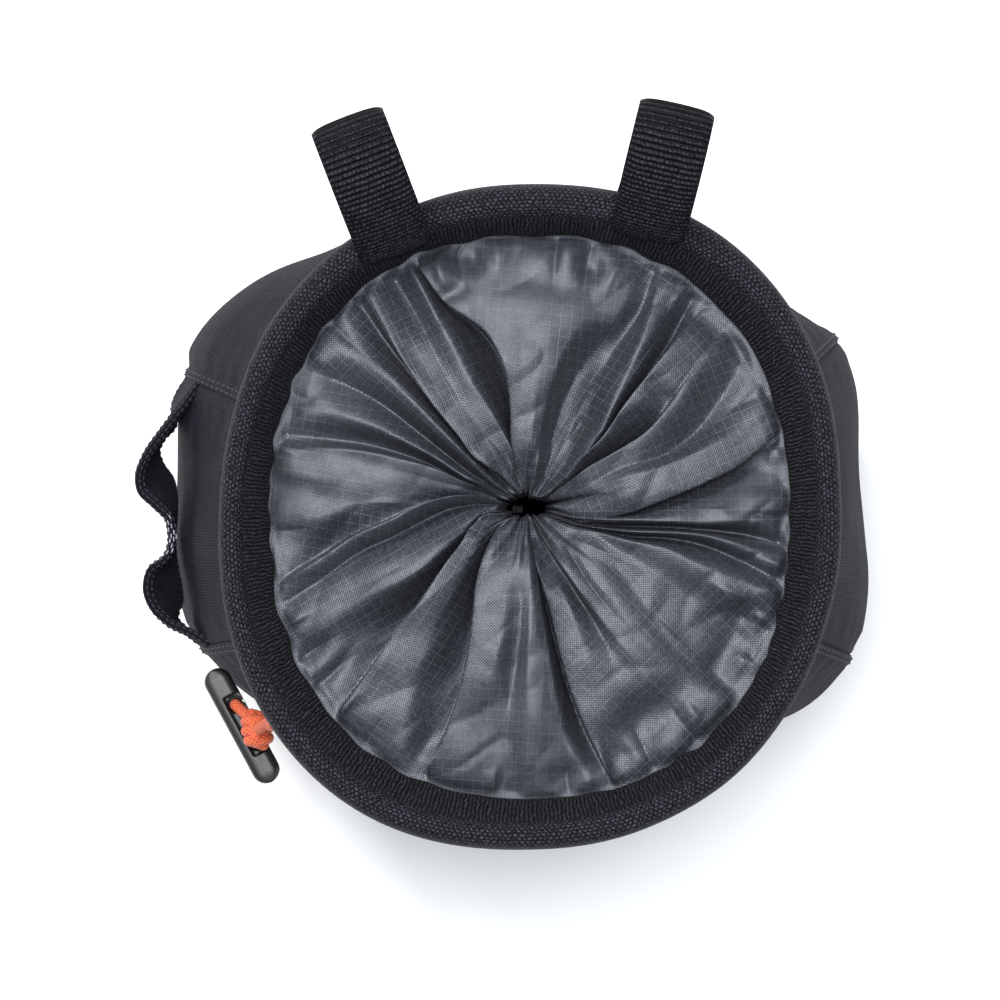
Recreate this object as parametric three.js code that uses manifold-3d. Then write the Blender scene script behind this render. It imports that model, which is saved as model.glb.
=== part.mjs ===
// Climbing chalk bag, standing on its base with its cinched mouth upwards.
// Millimetres, +Z up. The origin is the centre of the base's underside.
// +Y is the back of the bag, where the belt loops are, and +X is its right side.

import * as THREE from "three";
import { mergeVertices } from "three/addons/utils/BufferGeometryUtils.js";
import Module from "manifold-3d";

const wasm = await Module();
wasm.setup();

// Whole bag
const BAG_HEIGHT = 150;
const WALL = 2;
const SEAM_GAP = 0.3;

// Body outline at its widest level and at the base
const WIDEST_HALF_WIDTH = 74.6;
const WIDEST_BACK_DEPTH = 55;
const WIDEST_FRONT_DEPTH = 50;
const BACK_LEFT_EXTRA_DEPTH = 5.6;
const BASE_HALF_WIDTH = 66;
const BASE_HALF_DEPTH = 46;
const BASE_THICKNESS = 2;
const SQUARENESS_LEFT = 3;
const SQUARENESS_RIGHT = 4;
const SLACK_DEPTH = 4;

// The four panels between their seams, as azimuths in degrees, and the raised fells
const SIDES = [
  { name: "back_panel", from: 28, to: 158.4, felled: true },
  { name: "left_side_panel", from: 158.4, to: 203, felled: false },
  { name: "front_panel", from: 203, to: 336.4, felled: true },
  { name: "right_side_panel", from: 336.4, to: 388, felled: false },
];
const FELL_WIDTH = 2.2;
const FELL_HEIGHT = 0.8;

// Rim: an oval ring of bound padding, with a sloping facing inside it
const RIM_CENTRE_X = 1.9;
const RIM_CENTRE_Y = -1.25;
const RIM_HALF_WIDTH = 62.8;
const RIM_HALF_DEPTH = 66.8;
const RIM_SQUARENESS = 2.2;
const RIM_SKEW_SHARE = 0.015;
const RIM_SKEW_AZIMUTH = 50;
const ROLL_HEIGHT = 11;
const ROLL_SQUARENESS = 2.6;
const ROLL_WIDTH_SIDE = 5.4;
const ROLL_WIDTH_FRONT = 6;
const ROLL_WIDTH_BACK = 7.4;
const PANEL_TUCK = 0.8;
const FACING_THICKNESS = 1.4;
const FACING_TOP_DROP = 1.8;
const FACING_SLOPE_DROP = 5;

// Mouth opening inside the facing, and the collar cinched across it
const OPENING_HALF_WIDTH = 52.5;
const OPENING_HALF_DEPTH = 56.8;
const OPENING_SQUARENESS = 2.25;
const COLLAR_THICKNESS = 1;
const COLLAR_TUCK_SHARE = 0.55;
const COLLAR_PUFF_HEIGHT = 4.5;
const FOLD_DEPTH = 6;
const MOUTH_X = -0.6;
const MOUTH_Y = 2;
const MOUTH_HALF_WIDTH = 5;
const MOUTH_HALF_DEPTH = 3.6;
const MOUTH_DEPTH = 9;

// Belt loops
const LOOP_WIDTH = 15;
const LOOP_THICKNESS = 1.5;
const LOOP_REACH = 18;
const LOOP_RISE = 18;
const LOOPS = [
  { name: "belt_loop_left", azimuth: 116, heading: 111 },
  { name: "belt_loop_right", azimuth: 68.5, heading: 75.5 },
];

// Brush strip on the left side
const STRIP_HEIGHT = 17;
const STRIP_THICKNESS = 1.5;
const STRIP_MIDDLE_HEIGHT = 100;
const STRIP_STAND_DEPTH = 7.2;
const STRIP_SEAM_RISE = 0.2;
const STRIP_UPRIGHT_SHARE = 1.6;

// Closing cord, knot and pull handle
const CORD_DIAMETER = 2.5;
const CORD_SIDES = 8;
const CORD_AZIMUTH = 219;
const EXIT_HEIGHT = 134.8;
const EYELET_DIAMETER = 7;
const EYELET_HOLE = 4.4;
const EYELET_THICKNESS = 0.8;
const EYELET_SIDES = 16;
const KNOT_SIZE = 7;
const HANDLE_LENGTH = 27;
const HANDLE_WIDTH = 5.8;
const HANDLE_HEIGHT = 7;
const HANDLE_BEVEL = 1.2;
const BRIDGE_WIDTH = 2.2;
const RECESS_LENGTH = 14;
const RECESS_DEPTH = 3.6;
const SOCKET_SPACING = 9;
const SOCKET_DIAMETER = 3.6;
const SOCKET_DEPTH = 2.2;
const SOCKET_INSET = 1;

// Mesh steps: sections round a ring, and degrees between the columns of a panel
const RING_STEPS = 64;
const PANEL_STEP_DEGREES = 10;
const COLLAR_STEPS = 96;
const ROLL_SIDES = 10;
const SOCKET_SIDES = 12;
const CLEARANCE = 0.3;

// Cord points, from its exit to the knot, chosen by hand
const CORD_ROUTE = [
  [-49.4, -42.8, 134.9],
  [-49.9, -43.2, 134.1],
  [-50.6, -43.6, 132.6],
  [-50.8, -43.8, 130.8],
  [-50.6, -43.6, 128.7],
  [-50.3, -43.2, 126.4],
  [-50.1, -43.0, 124.0],
  [-50.1, -42.9, 121.6],
  [-50.4, -43.1, 119.2],
  [-50.9, -43.3, 116.9],
  [-51.4, -43.6, 114.7],
  [-52.0, -44.0, 112.5],
  [-52.8, -44.4, 110.4],
  [-53.6, -45.0, 108.5],
  [-54.8, -45.9, 106.0],
];
const KNOT_CENTRE = new THREE.Vector3(-55.3, -46.3, 101.4);
const HANDLE_CENTRE = new THREE.Vector3(-59, -45.9, 92);
const HANDLE_HEADING = new THREE.Vector3(60, -111, 0);

// Weights of the rim, widest and base outlines up the body.
// Level is a share of the wall's height.
const BODY_ROWS = [
  { level: 0.00, rim: 0, widest: 0.00, base: 1.00, tuck: 1.6 },
  { level: 0.03, rim: 0, widest: 0.10, base: 0.90, tuck: 0.2 },
  { level: 0.09, rim: 0, widest: 0.34, base: 0.66, tuck: 0 },
  { level: 0.21, rim: 0, widest: 0.62, base: 0.38, tuck: 0 },
  { level: 0.37, rim: 0, widest: 0.88, base: 0.12, tuck: 0 },
  { level: 0.54, rim: 0, widest: 1.00, base: 0.00, tuck: 0 },
  { level: 0.66, rim: 0.07, widest: 0.93, base: 0, tuck: 0 },
  { level: 0.77, rim: 0.27, widest: 0.73, base: 0, tuck: 0 },
  { level: 0.86, rim: 0.57, widest: 0.43, base: 0, tuck: 0 },
  { level: 0.94, rim: 0.85, widest: 0.15, base: 0, tuck: 0 },
  { level: 1.00, rim: 1.00, widest: 0, base: 0, tuck: 0 },
];

// Hollows (positive) and bulges (negative) of the slack cloth, as shares of SLACK_DEPTH.
// Azimuth and its spread are in degrees, level and its spread are shares of the wall's height.
const BODY_DENTS = [
  { azimuth: 265, spread: 30, level: 0.62, rise: 0.20, depth: 0.7 },
  { azimuth: 290, spread: 22, level: 0.24, rise: 0.14, depth: -0.4 },
  { azimuth: 240, spread: 14, level: 0.30, rise: 0.12, depth: 0.5 },
  { azimuth: 100, spread: 32, level: 0.52, rise: 0.22, depth: 0.8 },
  { azimuth: 135, spread: 12, level: 0.66, rise: 0.12, depth: -0.3 },
  { azimuth: 60, spread: 16, level: 0.34, rise: 0.14, depth: -0.4 },
  { azimuth: 6, spread: 9, level: 0.68, rise: 0.11, depth: 0.5 },
  { azimuth: 352, spread: 12, level: 0.30, rise: 0.13, depth: 0.4 },
  { azimuth: 178, spread: 13, level: 0.26, rise: 0.12, depth: 0.5 },
  { azimuth: 219, spread: 9, level: 0.90, rise: 0.13, depth: 0.75 },
  { azimuth: 210, spread: 7, level: 0.67, rise: 0.11, depth: 0.6 },
  { azimuth: 175, spread: 9, level: 0.70, rise: 0.13, depth: 0.5 },
  { azimuth: 194, spread: 7, level: 0.70, rise: 0.13, depth: 0.55 },
];

// Folds of the collar. The path gives azimuths in degrees at the radius shares in FOLD_RADII.
// Depth is a share of FOLD_DEPTH at the same radii: positive is a valley, negative a ridge.
// The steep and soft flanks are in degrees, and turn is +1 where the steep flank is on the
// anticlockwise side.
const FOLD_RADII = [0.16, 0.28, 0.42, 0.58, 0.76, 0.96];
const COLLAR_SHARES = [0.06, 0.13, 0.24, 0.37, 0.52, 0.67, 0.81, 0.91, 0.97];
const COLLAR_FOLDS = [
  {
    path: [96, 95, 95, 97, 102, 111],
    depth: [0.7, 0.9, 1.0, 0.9, 0.6, 0.2],
    steep: 2.5, soft: 15, turn: -1,
  },
  {
    path: [146, 137, 133, 131.5, 130.5, 129.5],
    depth: [0.5, 0.6, 0.6, 0.6, 0.5, 0.3],
    steep: 2.5, soft: 6, turn: 1,
  },
  {
    path: [160, 157, 155, 153, 152, 152],
    depth: [0.5, 0.6, 0.6, 0.5, 0.4, 0.2],
    steep: 4, soft: 8, turn: 1,
  },
  {
    path: [166, 161, 160, 162, 164, 167],
    depth: [-0.3, -0.4, -0.4, -0.4, -0.3, -0.2],
    steep: 3, soft: 4, turn: 1,
  },
  {
    path: [178, 182, 187, 191, 194, 198],
    depth: [-0.4, -0.5, -0.5, -0.4, -0.3, -0.2],
    steep: 3, soft: 9, turn: 1,
  },
  {
    path: [196, 200, 202, 202, 201, 200],
    depth: [0.5, 0.5, 0.5, 0.4, 0.3, 0.1],
    steep: 6, soft: 8, turn: 1,
  },
  {
    path: [205, 213, 217, 219, 221, 223],
    depth: [0.5, 0.6, 0.7, 0.7, 0.5, 0.3],
    steep: 3, soft: 8, turn: 1,
  },
  {
    path: [232, 238, 244, 248, 250, 250],
    depth: [0.5, 0.9, 0.9, 0.8, 0.6, 0.3],
    steep: 2.5, soft: 16, turn: 1,
  },
  {
    path: [262, 262, 262, 262, 263, 264],
    depth: [0, 0, 0.1, 0.2, 0.2, 0.1],
    steep: 5, soft: 5, turn: 1,
  },
  {
    path: [279, 281, 283, 284, 286, 288],
    depth: [0.6, 0.8, 0.9, 0.9, 0.7, 0.4],
    steep: 3, soft: 6, turn: 1,
  },
  {
    path: [294, 298, 301, 303, 304, 305],
    depth: [0.4, 0.4, 0.2, 0, 0, 0],
    steep: 4, soft: 4, turn: 1,
  },
  {
    path: [338, 334, 327, 320, 318, 318],
    depth: [0.2, 0.3, 0.3, 0.3, 0.3, 0.2],
    steep: 5, soft: 9, turn: -1,
  },
  {
    path: [342, 343, 346, 349, 348, 345],
    depth: [0.5, 0.7, 0.8, 0.7, 0.6, 0.4],
    steep: 2.5, soft: 6, turn: 1,
  },
  {
    path: [357, 360, 364, 368, 372, 375],
    depth: [0.5, 0.6, 0.7, 0.6, 0.5, 0.3],
    steep: 3, soft: 6, turn: -1,
  },
  {
    path: [27, 29, 32, 34, 36, 33],
    depth: [0.5, 0.7, 0.7, 0.5, 0.3, 0.2],
    steep: 3, soft: 5, turn: -1,
  },
  {
    path: [39, 41, 45, 46.5, 48, 50],
    depth: [0.5, 0.7, 0.8, 0.7, 0.6, 0.4],
    steep: 2.5, soft: 5, turn: -1,
  },
  {
    path: [70, 67, 66, 64, 60, 57],
    depth: [0.4, 0.7, 0.8, 0.7, 0.5, 0.2],
    steep: 9, soft: 10, turn: -1,
  },
];

// Path of a belt loop from the rim's inner groove, over the top and down the back of the bag.
// Out is a share of LOOP_REACH beyond the rim's outer edge, up is a share of LOOP_RISE above
// the rim's top, and sewn marks the points that lie on the back panel.
const LOOP_ROWS = [
  { out: -0.50, up: -0.01 },
  { out: -0.37, up: 0.15 },
  { out: -0.12, up: 0.46 },
  { out: 0.15, up: 0.76 },
  { out: 0.43, up: 0.95 },
  { out: 0.70, up: 1.00 },
  { out: 0.90, up: 0.92 },
  { out: 0.98, up: 0.70 },
  { out: 0.90, up: 0.40 },
  { out: 0.64, up: -0.05 },
  { out: 0.34, up: -0.46 },
  { out: 0.13, up: -0.76 },
  { up: -1.02, sewn: true },
  { up: -1.30, sewn: true },
  { up: -1.60, sewn: true },
];

// Path of the brush strip round the left side: azimuth in degrees, and how far it stands
// off the side panel as a share of STRIP_STAND_DEPTH. Where it stands off it is upright, and where
// it is sewn it follows the panel's slope.
const STRIP_ROWS = [
  { azimuth: 160.5, stand: 0 },
  { azimuth: 163.5, stand: 0.10 },
  { azimuth: 168.0, stand: 0.42 },
  { azimuth: 172.0, stand: 0.76 },
  { azimuth: 175.0, stand: 0.97 },
  { azimuth: 177.0, stand: 0.90 },
  { azimuth: 179.2, stand: 0.50 },
  { azimuth: 181.4, stand: 0.10 },
  { azimuth: 183.2, stand: 0 },
  { azimuth: 185.6, stand: 0 },
  { azimuth: 187.4, stand: 0.18 },
  { azimuth: 189.2, stand: 0.62 },
  { azimuth: 191.8, stand: 0.86 },
  { azimuth: 194.6, stand: 0.80 },
  { azimuth: 197.6, stand: 0.48 },
  { azimuth: 200.0, stand: 0.14 },
  { azimuth: 201.6, stand: 0 },
];

const WALL_TOP = BAG_HEIGHT - ROLL_HEIGHT - CLEARANCE;
const degrees = THREE.MathUtils.degToRad;
const mix = THREE.MathUtils.lerp;

// Outlines in plan

function ovalRadius(azimuth, halfWidth, halfDepth, squareness) {
  const x = Math.abs(Math.cos(azimuth)) / halfWidth;
  const y = Math.abs(Math.sin(azimuth)) / halfDepth;
  return (x ** squareness + y ** squareness) ** (-1 / squareness);
}

function rimRadius(azimuth) {
  const skew = 1 + RIM_SKEW_SHARE * Math.cos(2 * (azimuth - degrees(RIM_SKEW_AZIMUTH)));
  return skew * ovalRadius(azimuth, RIM_HALF_WIDTH, RIM_HALF_DEPTH, RIM_SQUARENESS);
}

function openingRadius(azimuth) {
  return ovalRadius(azimuth, OPENING_HALF_WIDTH, OPENING_HALF_DEPTH, OPENING_SQUARENESS);
}

function rollWidth(azimuth) {
  const front = Math.min(Math.sin(azimuth), 0) ** 2;
  const back = Math.max(Math.sin(azimuth), 0) ** 2;
  return ROLL_WIDTH_SIDE
    + (ROLL_WIDTH_FRONT - ROLL_WIDTH_SIDE) * front
    + (ROLL_WIDTH_BACK - ROLL_WIDTH_SIDE) * back;
}

function bodySquareness(azimuth) {
  return mix(SQUARENESS_LEFT, SQUARENESS_RIGHT, 0.5 + 0.5 * Math.cos(azimuth));
}

function widestRadius(azimuth) {
  const back = WIDEST_BACK_DEPTH - BACK_LEFT_EXTRA_DEPTH * Math.cos(azimuth);
  const depth = Math.sin(azimuth) > 0 ? back : WIDEST_FRONT_DEPTH;
  return ovalRadius(azimuth, WIDEST_HALF_WIDTH, depth, bodySquareness(azimuth));
}

function baseRadius(azimuth) {
  return ovalRadius(azimuth, BASE_HALF_WIDTH, BASE_HALF_DEPTH, bodySquareness(azimuth));
}

// Body surface

function bodyRow(level) {
  const last = BODY_ROWS.length - 1;
  let index = 0;
  while (index < last - 1 && level > BODY_ROWS[index + 1].level) {
    index += 1;
  }
  const low = BODY_ROWS[index];
  const high = BODY_ROWS[index + 1];
  const share = THREE.MathUtils.clamp((level - low.level) / (high.level - low.level), 0, 1);
  return {
    rim: mix(low.rim, high.rim, share),
    widest: mix(low.widest, high.widest, share),
    base: mix(low.base, high.base, share),
    tuck: mix(low.tuck, high.tuck, share) * (WALL / 2),
  };
}

// The angle from one azimuth to another, between minus and plus half a turn.
function turnBetween(azimuth, from) {
  return Math.atan2(Math.sin(azimuth - from), Math.cos(azimuth - from));
}

function dentDepth(azimuth, level) {
  let depth = 0;
  for (const dent of BODY_DENTS) {
    const across = turnBetween(azimuth, degrees(dent.azimuth)) / degrees(dent.spread);
    const up = (level - dent.level) / dent.rise;
    depth += SLACK_DEPTH * dent.depth * Math.exp(-across * across - up * up);
  }
  return depth;
}

// A point of the body's outer face, stood off by a distance in plan.
function bodyPoint(azimuth, height, standOff = 0) {
  const level = height / WALL_TOP;
  const row = bodyRow(level);
  const radius = row.rim * (rimRadius(azimuth) - PANEL_TUCK)
    + row.widest * widestRadius(azimuth)
    + row.base * baseRadius(azimuth)
    - row.tuck
    - dentDepth(azimuth, level);
  return new THREE.Vector3(
    RIM_CENTRE_X * row.rim + (radius + standOff) * Math.cos(azimuth),
    RIM_CENTRE_Y * row.rim + (radius + standOff) * Math.sin(azimuth),
    height,
  );
}

// Mesh helpers

function meshGeometry(points, triangles) {
  let volume = 0;
  for (const [a, b, c] of triangles) {
    volume += points[a].dot(new THREE.Vector3().crossVectors(points[b], points[c]));
  }
  const ordered = volume < 0 ? triangles.map(([a, b, c]) => [a, c, b]) : triangles;
  const geometry = new THREE.BufferGeometry();
  geometry.setFromPoints(points);
  geometry.setIndex(ordered.flat());
  return geometry;
}

// A closed ring of equal sections: section(azimuth) gives the points round one section.
function ringGeometry(steps, section) {
  const points = [];
  const triangles = [];
  let count = 0;
  for (let i = 0; i < steps; i += 1) {
    const loop = section((2 * Math.PI * i) / steps);
    count = loop.length;
    points.push(...loop);
  }
  for (let i = 0; i < steps; i += 1) {
    const next = (i + 1) % steps;
    for (let j = 0; j < count; j += 1) {
      const after = (j + 1) % count;
      const a = i * count + j;
      const b = next * count + j;
      const c = next * count + after;
      const d = i * count + after;
      triangles.push([a, b, c], [a, c, d]);
    }
  }
  return meshGeometry(points, triangles);
}

// A closed bar of equal sections, capped at both ends with a fan.
function barGeometry(sections) {
  const count = sections[0].length;
  const points = sections.flat();
  const triangles = [];
  for (let i = 0; i < sections.length - 1; i += 1) {
    for (let j = 0; j < count; j += 1) {
      const after = (j + 1) % count;
      const a = i * count + j;
      const b = (i + 1) * count + j;
      const c = (i + 1) * count + after;
      const d = i * count + after;
      triangles.push([a, b, c], [a, c, d]);
    }
  }
  const end = (sections.length - 1) * count;
  for (let j = 1; j < count - 1; j += 1) {
    triangles.push([0, j, j + 1], [end, end + j + 1, end + j]);
  }
  return meshGeometry(points, triangles);
}

// A panel with two faces: outer and inner are grids of points, rows by columns.
function panelGeometry(outer, inner) {
  const rows = outer.length;
  const columns = outer[0].length;
  const points = [...outer.flat(), ...inner.flat()];
  const inside = rows * columns;
  const at = (row, column) => row * columns + column;
  const triangles = [];
  for (let i = 0; i < rows - 1; i += 1) {
    for (let j = 0; j < columns - 1; j += 1) {
      const [a, b, c, d] = [at(i, j), at(i, j + 1), at(i + 1, j + 1), at(i + 1, j)];
      triangles.push([a, b, c], [a, c, d]);
      triangles.push([inside + a, inside + c, inside + b], [inside + a, inside + d, inside + c]);
    }
  }
  const border = [];
  for (let j = 0; j < columns; j += 1) border.push(at(0, j));
  for (let i = 1; i < rows; i += 1) border.push(at(i, columns - 1));
  for (let j = columns - 2; j >= 0; j -= 1) border.push(at(rows - 1, j));
  for (let i = rows - 2; i > 0; i -= 1) border.push(at(i, 0));
  border.forEach((a, index) => {
    const b = border[(index + 1) % border.length];
    triangles.push([b, a, inside + a], [b, inside + a, inside + b]);
  });
  return meshGeometry(points, triangles);
}

function toSolid(geometry) {
  const bare = geometry.clone();
  bare.deleteAttribute("normal");
  bare.deleteAttribute("uv");
  const merged = mergeVertices(bare, 1e-4);
  return new wasm.Manifold(new wasm.Mesh({
    numProp: 3,
    vertProperties: new Float32Array(merged.attributes.position.array),
    triVerts: new Uint32Array(merged.index.array),
  }));
}

function toGeometry(solid) {
  const { vertProperties, triVerts, numProp } = solid.getMesh();
  const geometry = new THREE.BufferGeometry();
  const positions = new Float32Array((vertProperties.length / numProp) * 3);
  for (let i = 0; i < positions.length / 3; i += 1) {
    positions.set(vertProperties.subarray(i * numProp, i * numProp + 3), i * 3);
  }
  geometry.setAttribute("position", new THREE.BufferAttribute(positions, 3));
  geometry.setIndex(Array.from(triVerts));
  return geometry;
}

function circleShape(diameter, sides) {
  const shape = new THREE.Shape();
  for (let i = 0; i < sides; i += 1) {
    const angle = (2 * Math.PI * i) / sides;
    const x = (diameter / 2) * Math.cos(angle);
    const y = (diameter / 2) * Math.sin(angle);
    if (i === 0) shape.moveTo(x, y);
    else shape.lineTo(x, y);
  }
  shape.closePath();
  return shape;
}

function tubeGeometry(points, diameter, sides, steps) {
  return new THREE.ExtrudeGeometry(circleShape(diameter, sides), {
    steps,
    bevelEnabled: false,
    extrudePath: new THREE.CatmullRomCurve3(points),
  });
}

// Body panels

// Columns of a panel: four at each fell, and more near the corners than in the middle.
function panelColumns(from, to) {
  const middle = Math.round((to - from) / degrees(PANEL_STEP_DEGREES));
  const edges = [0, FELL_WIDTH * 0.5, FELL_WIDTH, FELL_WIDTH * 1.35];
  const columns = edges.map((distance) => ({ share: 0, distance }));
  for (let i = 1; i < middle; i += 1) {
    const even = i / middle;
    columns.push({ share: mix(even, 0.5 - 0.5 * Math.cos(Math.PI * even), 0.6), distance: 0 });
  }
  [...edges].reverse().forEach((distance) => columns.push({ share: 1, distance: -distance }));
  return columns.map(({ share, distance }) => {
    const inset = (distance + (share === 0 ? SEAM_GAP / 2 : 0) - (share === 1 ? SEAM_GAP / 2 : 0));
    const onFell = (share === 0 || share === 1) && Math.abs(distance) <= FELL_WIDTH;
    return { azimuth: mix(from, to, share), inset, rise: onFell ? FELL_HEIGHT : 0 };
  });
}

function columnAzimuth(column, height) {
  const { x, y } = bodyPoint(column.azimuth, height);
  return column.azimuth + column.inset / Math.hypot(x, y);
}

function bodyPanel({ from, to, felled }) {
  const columns = panelColumns(degrees(from), degrees(to));
  const outer = [];
  const inner = [];
  for (const row of BODY_ROWS) {
    const height = row.level * WALL_TOP;
    const azimuths = columns.map((column) => columnAzimuth(column, height));
    outer.push(columns.map((column, i) => bodyPoint(azimuths[i], height, felled ? column.rise : 0)));
    inner.push(azimuths.map((azimuth) => bodyPoint(azimuth, height, -WALL)));
  }
  return panelGeometry(outer, inner);
}

// The base lies inside the walls, with corners at the same azimuths as theirs.
function basePanel() {
  const corners = SIDES.flatMap(({ from, to }) => panelColumns(degrees(from), degrees(to))
    .map((column) => bodyPoint(columnAzimuth(column, 0), 0, -WALL - CLEARANCE * 1.5)));
  const shape = new THREE.Shape(corners.map(({ x, y }) => new THREE.Vector2(x, y)));
  return new THREE.ExtrudeGeometry(shape, { depth: BASE_THICKNESS, bevelEnabled: false });
}

// Rim

function rimPoint(radius, azimuth, height) {
  return new THREE.Vector3(
    RIM_CENTRE_X + radius * Math.cos(azimuth),
    RIM_CENTRE_Y + radius * Math.sin(azimuth),
    height,
  );
}

// The padded roll: each section is a rounded oval that fills its width and height.
function rimRoll() {
  const middleHeight = BAG_HEIGHT - ROLL_HEIGHT / 2;
  return ringGeometry(RING_STEPS, (azimuth) => {
    const half = rollWidth(azimuth) / 2;
    const middle = rimRadius(azimuth) - half;
    const loop = [];
    for (let i = 0; i < ROLL_SIDES; i += 1) {
      const turn = (2 * Math.PI * (i + 0.5)) / ROLL_SIDES;
      const oval = ovalRadius(turn, half, ROLL_HEIGHT / 2, ROLL_SQUARENESS);
      const reach = oval / Math.cos(Math.PI / ROLL_SIDES);
      const across = THREE.MathUtils.clamp(reach * Math.cos(turn), -half, half);
      const up = THREE.MathUtils.clamp(reach * Math.sin(turn), -ROLL_HEIGHT / 2, ROLL_HEIGHT / 2);
      loop.push(rimPoint(middle + across, azimuth, middleHeight + up));
    }
    return loop;
  });
}

function facingOuterRadius(azimuth) {
  return rimRadius(azimuth) - rollWidth(azimuth) - CLEARANCE;
}

function rimFacing() {
  const top = BAG_HEIGHT - FACING_TOP_DROP;
  return ringGeometry(RING_STEPS, (azimuth) => {
    const outer = facingOuterRadius(azimuth);
    const inner = openingRadius(azimuth);
    const low = top - FACING_SLOPE_DROP;
    return [
      rimPoint(outer, azimuth, top),
      rimPoint(mix(outer, inner, 0.5), azimuth, mix(top, low, 0.35)),
      rimPoint(inner, azimuth, low),
      rimPoint(inner, azimuth, low - FACING_THICKNESS),
      rimPoint(mix(outer, inner, 0.5), azimuth, mix(top, low, 0.35) - FACING_THICKNESS),
      rimPoint(outer, azimuth, top - FACING_THICKNESS),
    ];
  });
}

// Collar

function foldValue(values, share) {
  const last = FOLD_RADII.length - 1;
  if (share <= FOLD_RADII[0]) return values[0];
  if (share >= FOLD_RADII[last]) return values[last];
  let index = 0;
  while (share > FOLD_RADII[index + 1]) index += 1;
  const span = FOLD_RADII[index + 1] - FOLD_RADII[index];
  return mix(values[index], values[index + 1], (share - FOLD_RADII[index]) / span);
}

function foldDrop(azimuth, share) {
  let drop = 0;
  for (const fold of COLLAR_FOLDS) {
    const centre = degrees(foldValue(fold.path, share));
    const offset = turnBetween(azimuth, centre) * fold.turn;
    const flank = degrees(offset > 0 ? fold.steep : fold.soft);
    const across = Math.min(Math.abs(offset) / flank, 1);
    drop += FOLD_DEPTH * foldValue(fold.depth, share) * (1 - across) ** 2 * (1 + 2 * across);
  }
  return drop;
}

// Height of the collar's upper face. Share is 0 at the mouth's edge and 1 at the opening.
function collarHeight(azimuth, share) {
  const edge = BAG_HEIGHT - FACING_TOP_DROP - FACING_SLOPE_DROP - FACING_THICKNESS - CLEARANCE;
  const puff = COLLAR_PUFF_HEIGHT * Math.sin(Math.PI * Math.min(share * 0.9 + 0.1, 1)) ** 1.4;
  const fade = THREE.MathUtils.smoothstep(1 - share, 0.02, 0.2);
  return edge + puff * fade - foldDrop(azimuth, share) * fade;
}

function collarRadius(azimuth) {
  const x = RIM_CENTRE_X + openingRadius(azimuth) * Math.cos(azimuth) - (RIM_CENTRE_X + MOUTH_X);
  const y = RIM_CENTRE_Y + openingRadius(azimuth) * Math.sin(azimuth) - (RIM_CENTRE_Y + MOUTH_Y);
  return { radius: Math.hypot(x, y), heading: Math.atan2(y, x) };
}

// One section of the collar, from the mouth's lip out to its edge under the facing and back.
function collarSection(azimuth) {
  const { radius, heading } = collarRadius(azimuth);
  const mouth = ovalRadius(heading, MOUTH_HALF_WIDTH, MOUTH_HALF_DEPTH, 2);
  const outside = mouth + COLLAR_THICKNESS;
  const at = (reach, height) => new THREE.Vector3(
    RIM_CENTRE_X + MOUTH_X + reach * Math.cos(heading),
    RIM_CENTRE_Y + MOUTH_Y + reach * Math.sin(heading),
    height,
  );
  const edge = collarHeight(heading, 1);
  const lip = Math.min(collarHeight(heading, COLLAR_SHARES[0]), edge) - MOUTH_DEPTH;
  const upper = [at(mouth, lip), at(mouth, lip + MOUTH_DEPTH * 0.7)];
  const lower = [at(outside, lip), at(outside, lip + MOUTH_DEPTH * 0.55)];
  COLLAR_SHARES.forEach((share, index) => {
    const reach = mix(outside, radius, share);
    const height = collarHeight(heading, share);
    upper.push(at(reach, height));
    lower.push(at(reach + (index === 0 ? COLLAR_THICKNESS : 0), height - COLLAR_THICKNESS));
  });
  const tuck = COLLAR_TUCK_SHARE * (facingOuterRadius(azimuth) - openingRadius(azimuth));
  upper.push(at(radius + tuck, edge));
  lower.push(at(radius + tuck, edge - COLLAR_THICKNESS));
  return [...upper, ...lower.reverse()];
}

function collar() {
  return ringGeometry(COLLAR_STEPS, collarSection);
}

// Belt loops

function beltLoop({ azimuth, heading }) {
  const base = rimPoint(rimRadius(degrees(azimuth)), degrees(azimuth), BAG_HEIGHT);
  const outward = new THREE.Vector3(Math.cos(degrees(heading)), Math.sin(degrees(heading)), 0);
  const across = new THREE.Vector3(-outward.y, outward.x, 0);
  const half = LOOP_THICKNESS / 2;
  const path = LOOP_ROWS.map((row) => {
    const height = BAG_HEIGHT + row.up * LOOP_RISE + (row.sewn ? 0 : half + CLEARANCE);
    if (row.sewn) return { point: bodyPoint(degrees(azimuth), height, half + CLEARANCE), side: null };
    const point = base.clone().addScaledVector(outward, row.out * LOOP_REACH).setZ(height);
    return { point, side: across };
  });
  const sections = path.map(({ point, side }, index) => {
    const before = path[Math.max(index - 1, 0)].point;
    const after = path[Math.min(index + 1, path.length - 1)].point;
    const forward = after.clone().sub(before).normalize();
    let wide = side;
    if (!side) {
      const turn = degrees(1);
      wide = bodyPoint(degrees(azimuth) + turn, point.z).sub(bodyPoint(degrees(azimuth) - turn, point.z));
      wide.setZ(0).normalize();
    }
    const normal = new THREE.Vector3().crossVectors(forward, wide).normalize();
    const corner = (w, n) => point.clone()
      .addScaledVector(wide, (w * LOOP_WIDTH) / 2)
      .addScaledVector(normal, n * half);
    return [corner(-1, -1), corner(1, -1), corner(1, 1), corner(-1, 1)];
  });
  return barGeometry(sections);
}

// Brush strip

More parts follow.
